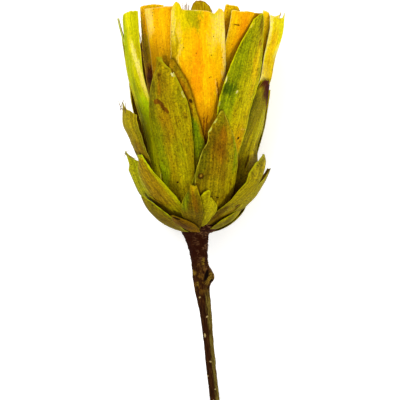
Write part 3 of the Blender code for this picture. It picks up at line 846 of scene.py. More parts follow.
describe(
    "rim_bract_right", "yellow_bract", "E4CC0C",
    Patch("E0DA14", 0.2, 0.96, 0.5, 0.06), Patch("F4C010", -0.6, 0.87, 0.35, 0.09, 0.85),
    Patch("F8EC90", -0.05, 0.84, 0.22, 0.1, 0.9, 1.6), Patch("F6E28A", -0.7, 0.74, 0.5, 0.05, 0.9),
    Mark("C09A10", -0.55, 0.79, 0.5, 0.006, 0.6), Patch("F4E070", -1.0, 0.88, 0.14, 0.1),
    Patch("F0DE7A", 0.5, 0.78, 0.4, 0.08), Patch("D2A80C", -0.4, 0.76, 0.6, 0.06, 0.7),
    Patch("F4E690", 0.25, 0.86, 0.12, 0.12, 0.7), Patch("DCD60E", 0.1, 0.93, 0.5, 0.06, 0.7),
    Patch("C4D21A", 0.75, 0.985, 0.3, 0.03, 0.9), Patch("F4E68C", -1.0, 0.95, 0.16, 0.06),
    margin="F2E9A0", left=((0, 0), (0.8, 0), (0.83, 0.4), (0.9, 2.0), (0.97, 3.2), (1, 3.2)),
    right=((0, 0), (0.6, 0.6), (0.75, 1.4), (1, -0.6)),
    stand=((0, 0), (0.6, 0.5), (0.72, 1.3), (0.84, 1.2), (0.93, 0.3), (1, -0.4)), fold=(-0.1, 0.5),
    ribs=0.1, jag=0.3, grit=0.35, nook=0.5,
    crown=(
        (-1, -1.4), (-0.8, -2.0), (-0.5, -2.2), (0.0, -1.4), (0.35, 0.4), (0.65, 1.3), (0.85, 1.1),
        (1, -0.4),
    ),
)

# The side that it lies on, by tier.
describe(
    "basal", "olive_scale", "6E640C",
    Patch("5A4606", 0.2, 0.4, 0.8, 0.3, 0.6),
    stand=((0, 0), (1, -0.7)), bulge=0.2, lift=0, mottle=0.7,
)
describe(
    "lower", "green_bract", "8C860E",
    Patch("A09618", -0.4, 0.85, 0.6, 0.15, 0.7), Patch("5E5A08", 0.2, 0.4, 1.0, 0.2, 0.7),
    fray=0.3,
)
describe(
    "middle", "olive_bract", "91800A",
    Patch("6A6404", -0.7, 0.7, 0.5, 0.2, 0.7), Patch("AC9E0C", 0.5, 0.6, 0.5, 0.2, 0.7),
    Patch("7A5A08", 0.0, 0.9, 0.7, 0.08, 0.6),
    jag=0.3, mottle=0.6,
)
describe(
    "tall", "green_bract", "A2A208",
    Patch("C2B20C", 0.4, 0.7, 0.6, 0.2, 0.7), Patch("8A9006", -0.6, 0.8, 0.5, 0.15, 0.7),
    Patch("6A5A10", 0.0, 1.0, 1.2, 0.04, 0.7),
    crown=((-1, -2.5), (-0.3, 0.3), (0.3, 0), (1, -1.8)), jag=0.4,
)
describe(
    "inner", "orange_bract", "F4AE12",
    Patch("EFC62C", 0.6, 0.9, 0.5, 0.12, 0.7), Patch("C8AE10", -0.6, 0.97, 0.5, 0.06, 0.7),
    Patch("B8860A", 0.0, 0.62, 1.4, 0.12),
    margin="EAD070", crown=((-1, 0.8), (-0.5, -0.3), (0.3, 0.2), (1, -0.6)), mottle=0.3,
)

LOOKS["tall_bract_under_5"] = LOOKS["tall"]._replace(
    crown=((-1, -5.5), (1, -5.5)),
    right=((0, 0), (0.6, 0), (0.72, -1.6), (0.85, -3), (1, -3.4)),
    nook=0.3,
)


def look_of(name):
    """A bract's own look, or its tier's."""
    return LOOKS.get(name) or LOOKS[name.split("_")[0]]


# ---------------------------------------------------------------- bracts

COLUMNS = (6, 52)  # the fewest and the most cells across a bract
ROWS = (12, 190)  # and up it
ROW_STRETCH = 1.3  # how much longer than wide a cell is
CROWN_FADE = 9.0  # the power of up by which the top edge's own line fades downwards
ROOT_TUCK = 1.2  # how far the outer face runs on past the CAD's root
ROOT_SWELL = 0.9  # how much wider each side of the root is
TUCK_FADE, SWELL_FADE = 8, 6  # the powers by which those two fade upwards
FREE = (0.25, 0.75)  # the places up between which a bract comes free of the bowl
JAG_PERIOD = 1.6  # length of the top edge's raggedness
FRAY_PERIOD = 2.3  # and of the sides'
FRAYED_HALF = 2.0  # the half width below which they fray less
RIB_TURN = 5.2  # radians of the ribs' cosine for each millimetre
RIB_SWAY, RIB_PERIOD = 1.4, 22.0  # radians that the ribs wander by, and over what length
RIBBED_HALF = 3.0  # the half width below which the ribs are lower
FOLD_WIDTH = 0.12  # half width of a fold, in the measure of across
ROLL_HEIGHT = 0.35  # height of the rolling noise
ROLL_PERIODS = (7.0, 18.0)  # its lengths across and up
NOOK_REACH = 1.1  # how far from a neighbour's edge its shade falls
RIM_SHARE = 0.35  # the thickness at a bract's rim, as a share of the rest
THIN_RIM = 1.5  # how far in from the rim it thins
GRAIN_STEP = 7.3  # how far apart two seeds' textures are


def across_or_up(knots, places):
    """The knots' values at these places, by straight lines between the knots."""
    at, values = np.array(knots, float).T
    return np.interp(places, at, values)


def surface_of(outline, look, seed, fineness, ragged):
    """The outer face of a bract and its attributes, as grids over up (rows) and across.

    A point's length along the bowl runs from the root to the top edge, whose rises fade downwards
    with a high power of up. Its azimuth runs from the left edge to the right, both frayed. It
    stands out of the CAD's depth by a bulge that is a parabola across, a lift that grows as the
    cube of up, ribs that are cosines of the width, a fold and rolling noise."""
    width = outline.widest()
    length = outline.reach() - outline.start()
    columns = int(np.clip(width / fineness, *COLUMNS)) + 1
    rows = int(np.clip(length / (fineness * ROW_STRETCH), *ROWS)) + 1
    across, up = np.meshgrid(np.linspace(-1.0, 1.0, columns), np.linspace(0.0, 1.0, rows))
    crown = across_or_up(look.crown, across[0])
    crown = crown + ragged * look.jag * wander(across[0] * width / 2, JAG_PERIOD, seed)
    tuck = ROOT_TUCK * (1.0 - up) ** TUCK_FADE
    along = outline.start() + length * up + crown * up**CROWN_FADE - tuck
    left, right, depth = outline.at(along)
    radius = bowl_radius(along, depth)
    half = np.radians(right - left) * radius / 2
    soft = ragged * look.fray * np.minimum(half / FRAYED_HALF, 1.0)
    root = ROOT_SWELL * (1.0 - up) ** SWELL_FADE
    to_left, to_right = np.maximum(-across, 0.0), np.maximum(across, 0.0)
    swell_left = across_or_up(look.left, up) + soft * wander(along, FRAY_PERIOD, seed + 1) + root
    swell_right = across_or_up(look.right, up) + soft * wander(along, FRAY_PERIOD, seed + 2) + root
    off = np.radians((right + left) / 2) * radius + across * half
    off = off - swell_left * to_left**2 + swell_right * to_right**2
    free = eased(up, *FREE)
    side = across * half
    sway = RIB_SWAY * wander(along, RIB_PERIOD, seed + 3)
    ribs = np.cos(side * RIB_TURN + sway) * smooth(half / RIBBED_HALF)
    at, height = look.fold
    out = (
        look.bulge * (1.0 - across**2) * free
        + look.lift * up**3
        + across_or_up(look.left_out, up) * to_left
        + across_or_up(look.right_out, up) * to_right
        + look.ribs * ribs
        + height * np.exp(-(((across - at) / FOLD_WIDTH) ** 2)) * free
        + across_or_up(look.stand, up)
        + ROLL_HEIGHT * rolling(side, along, *ROLL_PERIODS, seed + 4) * free
    )
    return {
        "along": along,
        "azimuth": outline.middle + np.degrees(off / radius),
        "depth": depth - out,
        "plain_depth": depth,
        "across": across,
        "up": up,
        "side": side,
        "rim": np.minimum(half * (1.0 - np.abs(across)), length * (1.0 - up)),
    }


def overlap_shade_of(name, surface, outlines):
    """How near each point is to the edge of a bract that lies over it: one under the edge, and less
    by the distance's exponential away from it. The bract's finish paints shade there."""
    along = surface["along"]
    nook = np.zeros(along.shape)
    for other, outline in outlines.items():
        if other == name:
            continue
        azimuth = turned(surface["azimuth"] - outline.middle)
        left, right, depth = outline.at(along)
        radius = bowl_radius(along, depth)
        look = look_of(other)
        up = (along - outline.start()) / (outline.reach() - outline.start())
        left = np.radians(left - azimuth) * radius - across_or_up(look.left, up)
        right = np.radians(azimuth - right) * radius - across_or_up(look.right, up)
        aside = np.maximum(left, right)
        beyond = np.maximum(along - outline.reach(), 0.0) + np.maximum(outline.start() - along, 0.0)
        distance = np.hypot(np.maximum(aside, 0.0), beyond)
        over = depth < surface["plain_depth"] - FACE_GAP
        nook = np.maximum(nook, np.where(over, np.exp(-distance / NOOK_REACH), 0.0))
    return nook


# Fine textures of a dried bract, as noise on its grain: how that is stretched across, along and
# from layer to layer, the noise's detail and its roughness.
BRACT_TEXTURES = {
    "broken": ((1.6, 0.5, 1.0), 4.0, 0.65),
    "mottle": ((0.4, 0.17, 1.0), 5.0, 0.7),
    "light": ((0.6, 0.14, 3.0), 3.0, 0.6),
    "streak": ((1.2, 0.05, 5.0), 3.0, 0.6),
    "fibre": ((4.0, 0.2, 1.0), 4.0, 0.6),
    "grit": ((1.5, 1.1, 1.0), 3.0, 0.75),
    "sparkle": ((1.3, 1.1, 2.0), 3.0, 0.75),
    "chips": ((0.5, 0.45, 6.0), 3.0, 0.7),
}
BROAD_TEXTURE = ((0.30, 0.10, 1.0), 3.0, 0.6)

# Coats over the patches, in order: the texture, where it sets in and where it is full, the look's
# field that it goes by, its share of that, its tint and how it blends.
BRACT_COATS = (
    ("mottle", 0.48, 0.72, "mottle", 1.0, (0.48, 0.36, 0.10, 1.0), "MULTIPLY"),
    ("light", 0.5, 0.72, "", 0.45, (1.0, 0.92, 0.2, 1.0), "SOFT_LIGHT"),
    ("streak", 0.5, 0.66, "grit", 0.6, (0.60, 0.54, 0.3, 1.0), "MULTIPLY"),
    ("streak", 0.5, 0.36, "grit", 0.8, (1.0, 0.95, 0.3, 1.0), "SOFT_LIGHT"),
    ("fibre", 0.42, 0.66, "", 0.45, (0.60, 0.52, 0.35, 1.0), "MULTIPLY"),
    ("grit", 0.46, 0.66, "grit", 1.0, (0.36, 0.31, 0.18, 1.0), "MULTIPLY"),
    ("sparkle", 0.5, 0.66, "", 0.75, (1.0, 0.85, 0.12, 1.0), "SOFT_LIGHT"),
)

# Where a patch or a mark is full and where it ends, as shares of its half sizes.
PATCH_EDGE = (0.45, 1.25)
MARK_EDGE = (0.8, 1.1)
DULL = 0.03  # specular level of dry skin


def patch_mask(graph, place, patch, edge):
    """One inside the patch's leaning ellipse and nought outside it, eased between two sizes."""
    off = graph.moved(place, (-patch.across, -patch.up, 0.0))
    if patch.lean:
        off = graph.joined(off.part(0) - off.part(1) * patch.lean, off.part(1))
    share = graph.scaled(off, (1.0 / patch.wide, 1.0 / patch.tall, 0.0))
    distance = graph.vector("LENGTH", share, out="Value")
    return (1.0 - distance.between(*edge)) * patch.strength


def bract_finish(name, look, dryness, shade):
    """Leathery dried bract: patches of colour on a body colour, streaked along the grain, mottled,
    freckled with black dots, pale at its margin, which is partly its own colour and partly a
    painted highlight, and darkened by painted shade where a neighbour lies over it."""
    graph = Graph(name)
    place, grain, edge = (graph.attribute(title) for title in ("place", "grain", "edge"))
    rim, nook = edge.part(0), edge.part(1)
    texture = {title: graph.texture(grain, *kind) for title, kind in BRACT_TEXTURES.items()}
    broken = texture["broken"] - 0.5

    # The patches' outlines wander, and the marks' a little.
    broad = graph.texture(grain, *BROAD_TEXTURE, 1)
    soft_place = graph.moved(place, graph.scaled(broad, (0.5, 0.1, 0.0)))
    soft_place = graph.moved(soft_place, graph.joined(broken * 0.3 - 0.25, broken * 0.06 - 0.05))
    crisp_place = graph.moved(place, graph.joined(broken * 0.12, broken * 0.02))

    paint = Paint(graph, look.body)
    for patch in look.patches:
        crisp = isinstance(patch, Mark)
        where, fade = (crisp_place, MARK_EDGE) if crisp else (soft_place, PATCH_EDGE)
        paint.coat(patch_mask(graph, where, patch, fade), patch.colour)
    fields = {"mottle": look.mottle * dryness, "grit": look.grit, "": 1.0}
    for title, low, high, field, share, tint, blend in BRACT_COATS:
        paint.coat(texture[title].between(low, high) * (fields[field] * share), tint, blend)
    dots = graph.cells(grain, (1.0, 0.8, 1.0), 0.42, "F1")
    some = graph.noise(grain, 0.21, 1.0, 0.5).between(0.46, 0.52)
    paint.coat((1.0 - dots.between(0.05, 0.14)) * some * 0.85, "2A1C05")

    inner = graph.mix(texture["fibre"].between(0.35, 0.7), look.inner, "7A4E14")
    paint.coat(place.part(2), inner)
    # The margin colour: partly the bract's own pale rim and partly painted highlight along edges
    # that catch the light; on middle_bract_behind it is a dark painted shadow line.
    near_rim = 1.0 - (rim + broken * 0.8).between(0.0, look.margin_width)
    paint.coat(near_rim * (texture["chips"].between(0.4, 0.58) * 0.6 + 0.4), look.margin)
    # Painted shade: darker where a neighbour's edge lies over the bract.
    dark = (nook + broken * 0.4).between(0.3, 1.0)
    paint.coat(dark * (look.nook * shade), "3A2804")

    values = {"Saturation": 1.06, "Value": 0.97, "Color": paint.colour}
    colour = graph.add("ShaderNodeHueSaturation", {}, values, "Color")
    mottle = texture["mottle"]
    height = texture["fibre"] * 0.6 + texture["grit"] * 0.6 + mottle * 0.8
    return graph.finish(colour, 0.55 + mottle * 0.3, graph.bump(height, 0.8, 0.0005), DULL)


def add_bract(name, outlines, seed, fineness, sizes):
    """A bract as a thin closed sheet: its outer face, and an inner face a sheet's thickness in,
    thinner towards its rim."""
    look = look_of(name)
    surface = surface_of(outlines[name], look, seed, fineness, sizes.raggedness)
    nook = overlap_shade_of(name, surface, outlines)
    thick = sizes.thickness * (RIM_SHARE + (1.0 - RIM_SHARE) * smooth(surface["rim"] / THIN_RIM))
    outer = bowl_point(surface["along"], surface["azimuth"], surface["depth"])
    inner = bowl_point(surface["along"], surface["azimuth"], surface["depth"] + thick)
    zero = np.zeros(nook.shape)
    place = np.stack([surface["across"], surface["up"], zero], axis=-1)
    grain = np.stack([surface["side"], surface["along"], zero + seed * GRAIN_STEP], axis=-1)
    # The edge attribute holds the distance from the rim and the strength of the painted shade.
    edge = np.stack([surface["rim"], nook, zero], axis=-1)
    behind = place + np.array([0.0, 0.0, 1.0])
    made = add_sheet(
        name + "_dried",
        to_table(outer),
        to_table(inner),
        {"place": (place, behind), "grain": (grain, grain), "edge": (edge, edge)},
    )
    made.data.materials.append(bract_finish(name + "_finish", look, sizes.dryness, sizes.shade))
    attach(made, ROOT_BODY)
    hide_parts(name)
    return made


# ---------------------------------------------------------------- stem

STEM_SIDES = 72
STEM_RINGS = 380
SKIN_RADIUS = 3.0  # the stem's middling radius, on which the bark's grain is laid out
LOW_RADIUS, KNOT_RADIUS = 2.4, 3.5  # its radius low down, and about the knot
GROOVE_SEED, LENTICEL_SEED, ROUGH_SEED, SCAR_SEED = 71, 75, 76, 77
# Heights where the grooves set in and are full, where the scars do, and where the relief ends at
# the receptacle.
GROOVED_BARK = (-24.0, -32.0)
SCARRED_BARK = (-19.0, -13.0)
RELIEF_END = (4.0, 1.0)
# The receptacle's swelling under the lowest scales: height, and the least radius there.
SWELL_HEIGHTS = (-3.0, -1.2, 0.3, 1.2, 3.0, 6.0)
SWELL_RADII = (4.9, 5.5, 7.0, 8.6, 9.9, 9.8)
CUT_HEIGHTS = (-79.95, -79.6)  # fresh wood below the first, bark above the second
# Marks on the bark: azimuth, height, half width, half height and how far it leans for each
# millimetre up.
KNOT = (78.0, -19.8, 1.5, 1.8, 0.0)
HOLES = (
    (30.0, -18.9, 0.85, 1.9, 0.4),
    (62.0, -21.0, 0.5, 0.8, 0.0),
    (56.0, -24.6, 0.45, 0.5, 0.3),
)
GOLD = (
    (-56.0, -17.0, 1.3, 1.6, 0.0),
    (26.0, -13.0, 1.0, 2.4, 0.2),
    (48.0, -20.5, 1.6, 3.2, 0.3),
    (-30.0, -22.5, 0.8, 1.2, 0.0),
    (150.0, -18.0, 1.6, 2.2, 0.0),
)
LENTICELS = (
    (10.0, -37.0, 0.6, 0.55, 0.5),
    (-37.0, -45.1, 0.7, 1.2, 0.0),
    (0.0, -56.8, 0.65, 0.5, -0.4),
    (-60.0, -62.9, 0.5, 0.8, -0.6),
    (20.0, -69.3, 0.5, 0.5, 0.0),
    (-31.0, -28.2, 0.5, 0.5, 0.4),
    (-80.0, -31.1, 0.6, 0.7, 0.0),
    (45.0, -75.0, 0.4, 0.6, 0.0),
    (-15.0, -74.0, 0.35, 0.5, 0.3),
)
# On the side that it lies on: how many, and the spans of the same five numbers.
MORE_LENTICELS = 18
MORE_SPANS = ((95.0, 265.0), (-78.0, -12.0), (0.35, 0.65), (0.4, 1.0), (-0.4, 0.4))


def stem_line():
    """Heights, centres and radii of the CAD stem's rings."""
    points = to_head(node_corners("stem"))
    rings = [points[row] for row in in_rows(points[:, 2], ROW_GAP)]
    centres = np.array([ring.mean(axis=0) for ring in rings])
    radii = [np.hypot(*(ring - centre)[:, :2].T).mean() for ring, centre in zip(rings, centres)]
    return centres[:, 2], centres, np.array(radii)


def hump(azimuth, height, at_azimuth, at_height, wide, tall, lean, radius):
    """A smooth hump on the stem: the exponential of minus the squared distance in half sizes."""
    rise = height - at_height
    off = np.radians(turned(azimuth - at_azimuth)) * radius - rise * lean
    return np.exp(-((off / wide) ** 2) - (rise / tall) ** 2)


def highest_hump(azimuth, height, marks, radius):
    """The highest of some humps at each point."""
    return np.max([hump(azimuth, height, *mark, radius) for mark in marks], axis=0)


def bark_relief(azimuth, height):
    """Relief of the bark and its marks: long grooves low down, a rough skin of small leaf scars
    high up, a few lenticels, a knot and holes."""
    turn = np.radians(azimuth)
    low, high = eased(height, *GROOVED_BARK), eased(height, *SCARRED_BARK)
    wave = wander(height, 14.0, GROOVE_SEED) + 0.4 * wander(height, 3.0, GROOVE_SEED + 1)
    groove = np.cos(turn * 5.0 + 1.5 * wave) + 0.6 * np.cos(turn * 11.0 - 2.0 * wave)
    source = np.random.default_rng(LENTICEL_SEED)
    more = np.stack([source.uniform(*span, MORE_LENTICELS) for span in MORE_SPANS], axis=-1)
    lenticel = highest_hump(azimuth, height, (*LENTICELS, *more), LOW_RADIUS)
    knot = hump(azimuth, height, *KNOT, KNOT_RADIUS)
    hole = highest_hump(azimuth, height, HOLES, KNOT_RADIUS)
    gold = highest_hump(azimuth, height, GOLD, KNOT_RADIUS)
    skin = turn * SKIN_RADIUS
    rough = rolling(skin, height, 1.0, 1.6, ROUGH_SEED, 3)
    scars = np.abs(rolling(skin + 0.4 * height, height, 1.1, 0.7, SCAR_SEED, 2))
    relief = (
        0.12 * groove * low
        + 0.35 * scars * high
        + 0.15 * lenticel
        + 1.0 * knot
        - 0.8 * hole
        + 0.15 * gold * rough
        + (0.16 + 0.14 * high) * rough
    )
    return relief, lenticel, hole, gold


def stem_surface(relief_share):
    """The stem as rings round its centre line, square to it, with the bark's relief."""
    heights, centres, radii = stem_line()
    rise = np.linspace(heights[0], heights[-1], STEM_RINGS)
    line = np.stack([smooth_through(rise, heights, centres[:, k]) for k in range(3)], axis=-1)
    ahead = np.gradient(line, axis=0)
    ahead /= np.linalg.norm(ahead, axis=1, keepdims=True)
    aside = np.array([1.0, 0.0, 0.0]) - ahead * ahead[:, :1]
    aside /= np.linalg.norm(aside, axis=1, keepdims=True)
    front = np.cross(aside, ahead)
    radius = smooth_through(rise, heights, radii)
    swell = np.interp(rise, SWELL_HEIGHTS, SWELL_RADII)
    inside = (rise > SWELL_HEIGHTS[0]) & (rise < SWELL_HEIGHTS[-1])
    radius = np.where(inside, np.maximum(radius, swell), radius)
    azimuth = np.linspace(-180.0, 180.0, STEM_SIDES, endpoint=False)
    azimuth, height = np.meshgrid(azimuth, rise)
    relief, lenticel, hole, gold = bark_relief(azimuth, height)
    free = eased(height, *RELIEF_END)
    out = radius[:, None] + relief * relief_share * free
    turn = np.radians(azimuth)
    sine, cosine = np.sin(turn)[..., None], np.cos(turn)[..., None]
    rings = line[:, None] + out[..., None] * (sine * aside[:, None] + cosine * front[:, None])
    grain = np.stack([turn * SKIN_RADIUS, height, relief], axis=-1)
    marks = np.stack([lenticel, hole, gold], axis=-1)
    return rings, grain, marks


def bark_finish(dark, light):
    """Dry bark: nearly black with pale scar edges at the top, brown with gold flecks about the
    knot, and below it dark brown with an olive strip down its right side, which is a painted
    highlight. The cut is pale wood."""
    graph = Graph("bark")
    grain, marks = graph.attribute("grain"), graph.attribute("marks")
    skin, height, relief = (grain.part(k) for k in range(3))
    lenticel, hole, gold = (marks.part(k) for k in range(3))
    spot = graph.spot()
    streak = graph.texture(grain, (2.6, 0.22, 1.0), 4.0, 0.65)
    fleck = graph.noise(spot, 1500.0, 3.0, 0.7)
    blot = graph.noise(spot, 330.0, 4.0, 0.65)
    paint = Paint(graph, graph.mix(streak.between(0.42, 0.66), dark, light))

    # Painted highlight: an olive strip down the stem's right side, low on the stem.
    right = (skin + (streak - 0.5) * 5.0).between(0.5, 1.6)
    olive = graph.mix(streak.between(0.38, 0.58), "4A2E0C", "766828")
    paint.coat(right * (1.0 - height.between(-31.0, -23.0)) * 0.9, olive)
    middle = height.between(-30.0, -24.0) * (1.0 - height.between(-15.0, -9.0))
    paint.coat(middle * blot.between(0.45, 0.6) * fleck.between(0.35, 0.55) * 0.8, "6A4A12")
    paint.coat(height.between(-17.0, -11.0) * 0.85, "280A02")

    scars = 1.0 - graph.cells(grain, (0.62, 1.35, 0.8), 1.0, "DISTANCE_TO_EDGE").between(0.03, 0.14)
    pale = scars * blot.between(0.46, 0.58) * height.between(-21.0, -14.0)
    paint.coat(pale * skin.between(-3.0, 2.4) * 0.7, "7E5836")
    paint.coat(relief.between(-0.05, -0.3) * 0.6, "160903")
    paint.coat(fleck.between(0.5, 0.7) * 0.55, "180A04")
    gilded = (gold * (blot + 0.6)).between(0.3, 0.9) * fleck.between(0.4, 0.58)
    paint.coat(gilded * 0.85, "80641C")
    paint.coat((lenticel + (fleck - 0.5) * 0.7).between(0.45, 0.7) * 0.85, "A8935E")
    paint.coat(hole.between(0.25, 0.5) * 0.97, "0C0402")

    rings = graph.noise(spot, 1900.0, 2.0, 0.6)
    fresh = graph.mix(rings.between(0.35, 0.65), "8C6B3C", "C4A670")
    paint.coat(1.0 - height.between(*CUT_HEIGHTS), fresh)
    normal = graph.bump(streak * 0.6 + fleck * 0.7 + blot * 0.4, 0.9, 0.0006)
    return graph.finish(paint.colour, 0.8 + fleck * 0.15, normal, DULL)


# ---------------------------------------------------------------- florets

STRAND_SIDES = 4
STRAND_RINGS = 9
FLORET_SEED, TUFT_SEED, TONE_SEED = 31, 33, 35
FLORET_BASE = 15.5
FLORET_TOPS = (76.0, 93.0)
GOLDEN_ANGLE = 2.399963  # radians from one floret to the next, which packs them evenly
TUFT_STRANDS = 14
TUFT_BASE = 40.0
TUFT_TOPS = (97.0, 101.5)
TUFT_SHARE = 0.55  # radius of a tuft's hair, as a share of a floret's
LOOSE_RADIUS = 0.14
TIP_SHARE = 0.45  # radius at a strand's ends, as a share of that at its middle
# How dark the strands are: the spans of the bundle's tones and the tuft's, and the loose hairs'.
BUNDLE_TONES, TUFT_TONES, LOOSE_TONE = (0.0, 0.7), (0.0, 0.4), 1.0


def strand_rings(lines, radii):
    """Closed slender tubes: about each point of each line, a ring in the line's cross directions.
    Lines are strands by rings by 3; radii are strands by rings."""
    ahead = np.gradient(lines, axis=1)
    ahead /= np.linalg.norm(ahead, axis=2, keepdims=True)
    helper = np.where(np.abs(ahead[..., :1]) < 0.8, [1.0, 0.0, 0.0], [0.0, 1.0, 0.0])
    aside = np.cross(ahead, helper)
    aside /= np.linalg.norm(aside, axis=2, keepdims=True)
    front = np.cross(ahead, aside)
    turn = np.arange(STRAND_SIDES) * (2.0 * math.pi / STRAND_SIDES)
    around = np.cos(turn)[:, None] * aside[:, :, None] + np.sin(turn)[:, None] * front[:, :, None]
    return lines[:, :, None] + radii[:, :, None, None] * around


def add_strands(name, lines, radii, tones):
    """One mesh of many slender closed tubes, each ended by its first and its last ring."""
    rings = strand_rings(lines, radii)
    count, steps = rings.shape[:2]
    first = np.arange(count)[:, None] * (steps * STRAND_SIDES)
    sides = (first[:, None] + ring_quads(steps, STRAND_SIDES)).reshape(-1, 4)
    near = first + np.arange(STRAND_SIDES)[::-1]
    far = first + (steps - 1) * STRAND_SIDES + np.arange(STRAND_SIDES)
    share = np.broadcast_to(np.linspace(0.0, 1.0, steps)[None, :, None], rings.shape[:3])
    tones = np.broadcast_to(tones[:, None, None], rings.shape[:3])
    strand = np.stack([share, tones, np.zeros(share.shape)], axis=-1)
    quads = np.concatenate([sides, near, far])
    points = to_table(rings.reshape(-1, 3))
    return add_mesh(name, points, quads, attributes={"strand": strand.reshape(-1, 3)})


def floret_lines(count):
    """Lines of the florets: each rises from the receptacle, leans outwards with its distance from
    the axis and bends in again near its tip, by sines of its share of the height."""
    source = np.random.default_rng(FLORET_SEED)
    share = np.linspace(0.0, 1.0, STRAND_RINGS)[None]
    out = np.sqrt((np.arange(count) + 0.5) / count)[:, None]
    turn = (np.arange(count) * GOLDEN_ANGLE + source.uniform(-0.2, 0.2, count))[:, None]
    top = source.uniform(*FLORET_TOPS, count)[:, None] - 6.0 * out**2
    radius = out * (4.6 + 8.4 * np.sin(share * math.pi * 0.62)) * (1.0 - 0.16 * share**4)
    sway = source.uniform(-0.9, 0.9, (2, count, 1)) * np.sin(share * math.pi)
    sway = sway + source.uniform(-1.1, 1.1, (2, count, 1)) * share**3
    height = FLORET_BASE + 2.0 * (1.0 - out) + (top - FLORET_BASE) * share
    return np.stack(
        [radius * np.sin(turn) + sway[0], -radius * np.cos(turn) + sway[1], height], axis=-1
    )


def tuft_lines():
    """Lines of the few floret hairs that stand up behind the front bracts' top edge."""
    source = np.random.default_rng(TUFT_SEED)
    share = np.linspace(0.0, 1.0, STRAND_RINGS)[None]
    from_x = source.uniform(-8.4, -4.6, TUFT_STRANDS)[:, None]
    from_y = source.uniform(-4.0, 6.0, TUFT_STRANDS)[:, None]
    lean = source.uniform(-1.4, 1.4, (2, TUFT_STRANDS, 1))
    top = source.uniform(*TUFT_TOPS, TUFT_STRANDS)[:, None]
    return np.stack(
        [
            from_x + lean[0] * share**2,
            from_y + lean[1] * share**2,
            TUFT_BASE + (top - TUFT_BASE) * share,
        ],
        axis=-1,
    )


# Loose hairs of the florets caught on the torn bracts at the left: from and to, each as length
# along the bowl, azimuth and depth, and how far it bows.
LOOSE_HAIRS = (
    ((66.0, -76.0, -5.6), (71.0, -68.0, -4.4), 0.5),
    ((66.4, -72.0, -5.2), (70.6, -79.0, -5.4), -0.4),
    ((67.0, -79.0, -5.5), (65.2, -64.0, -3.2), 0.6),
    ((64.4, -70.0, -4.4), (69.6, -66.0, -4.6), -0.3),
    ((46.0, -84.0, -5.6), (48.8, -72.0, -4.4), 0.5),
    ((46.8, -76.0, -5.0), (45.0, -66.0, -2.6), -0.4),
    ((47.6, -82.0, -5.8), (44.6, -70.0, -3.2), 0.3),
    ((106.0, -57.6, 3.6), (96.0, -59.0, 3.6), 0.6),
    ((101.0, -58.2, 3.4), (90.0, -56.8, 3.8), -0.6),
    ((97.0, -56.8, 3.4), (86.0, -58.6, 3.8), 0.5),
    ((95.0, -63.0, 3.0), (90.0, -52.0, 3.0), 0.3),
    ((91.0, -64.0, 3.0), (87.5, -53.0, 3.2), -0.3),
)


def loose_lines():
    """Lines of the loose hairs: straight between their ends, bowed by a sine along the bowl."""
    ends = np.array([(start, end) for start, end, _ in LOOSE_HAIRS], float)
    bow = np.array([bow for _, _, bow in LOOSE_HAIRS])[:, None]
    share = np.linspace(0.0, 1.0, STRAND_RINGS)[None]
    along, azimuth, depth = (
        ends[:, 0, k, None] * (1.0 - share) + ends[:, 1, k, None] * share for k in range(3)
    )
    return bowl_point(along + bow * np.sin(share * math.pi), azimuth, depth)


def floret_finish(low, high):
    """Dry silky hairs: one colour at the foot, another above, darker at the tips, each strand of
    its own tone."""
    graph = Graph("floret")
    strand = graph.attribute("strand")
    share, own = strand.part(0), strand.part(1)
    fleck = graph.noise(graph.scaled(graph.spot(), (1.0, 0.25, 1.0)), 1400.0, 3.0, 0.6)
    paint = Paint(graph, graph.mix(share.between(0.1, 0.8), low, high))
    paint.coat(own, "5A3312")
    paint.coat(share.between(0.86, 1.0) * 0.6, "3A1E0A")
    paint.coat(fleck.between(0.5, 0.7) * 0.4, "EBCB8C")
    return graph.finish(paint.colour, 0.7 + fleck * 0.15, graph.bump(fleck, 0.4, 0.0001), 0.3)


# ---------------------------------------------------------------- the add-on

BRACT_NODES = sorted(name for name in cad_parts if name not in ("stem", "florets"))
OUTLINES = {name: Outline(name) for name in BRACT_NODES}
HIDDEN_WORD = "_under_"
FIRST_SEED, SEED_STEP = 11, 13


def shade_property(name, description, code):
    """A colour setting, its default as a colour code."""
    return bpy.props.FloatVectorProperty(
        name=name,
        description=description,
        subtype="COLOR",
        size=4,
        min=0.0,
        max=1.0,
        default=tone(code),
    )


def size_property(name, description, default, limits, **unit):
    """A setting that is a number, with its least and, where it has one, its greatest value."""
    limits = dict(zip(("min", "max"), limits))
    return bpy.props.FloatProperty(
        name=name, description=description, default=default, **limits, **unit
    )


def share_property(name, description, most=2.0):
    """A setting that is a share, one by default."""
    return size_property(name, description, 1.0, (0.0, most), subtype="FACTOR")


class ProteaBractSettings(bpy.types.PropertyGroup):
    fineness: size_property("Fineness", "Distance between a bract's corners, mm", 0.5, (0.4, 3.0))
    under_fineness: size_property(
        "Fineness beneath",
        "The same for the bracts of the side that it lies on, mm",
        0.8,
        (0.4, 3.0),
    )
    thickness: size_property("Thickness", "Thickness of a bract's sheet, mm", 0.32, (0.1, 0.45))
    raggedness: share_property("Raggedness", "How ragged the edges are")
    dryness: share_property("Dryness", "How much brown mottling there is")
    # How strong the painted shade is under a neighbour's edge.
    shade: share_property("Shade", "How dark a bract is where another lies over it", 1.0)


class ProteaStemSettings(bpy.types.PropertyGroup):
    relief: share_property("Bark relief", "Height of the bark's relief")
    dark: shade_property("Bark, dark", "Colour of the bark's furrows", "220C03")
    light: shade_property("Bark, light", "Colour of the bark's ridges", "45260A")


class ProteaFloretSettings(bpy.types.PropertyGroup):
    count: bpy.props.IntProperty(
        name="Strands",
        description="How many strands the bundle has",
        default=460,
        min=20,
        max=1500,
    )
    radius: size_property("Strand radius", "Radius of a strand at its middle, mm", 0.36, (0.1, 0.8))
    low: shade_property("Foot colour", "Colour of the strands at the foot", "A8742E")
    high: shade_property("Upper colour", "Colour of the strands above", "CDA25C")


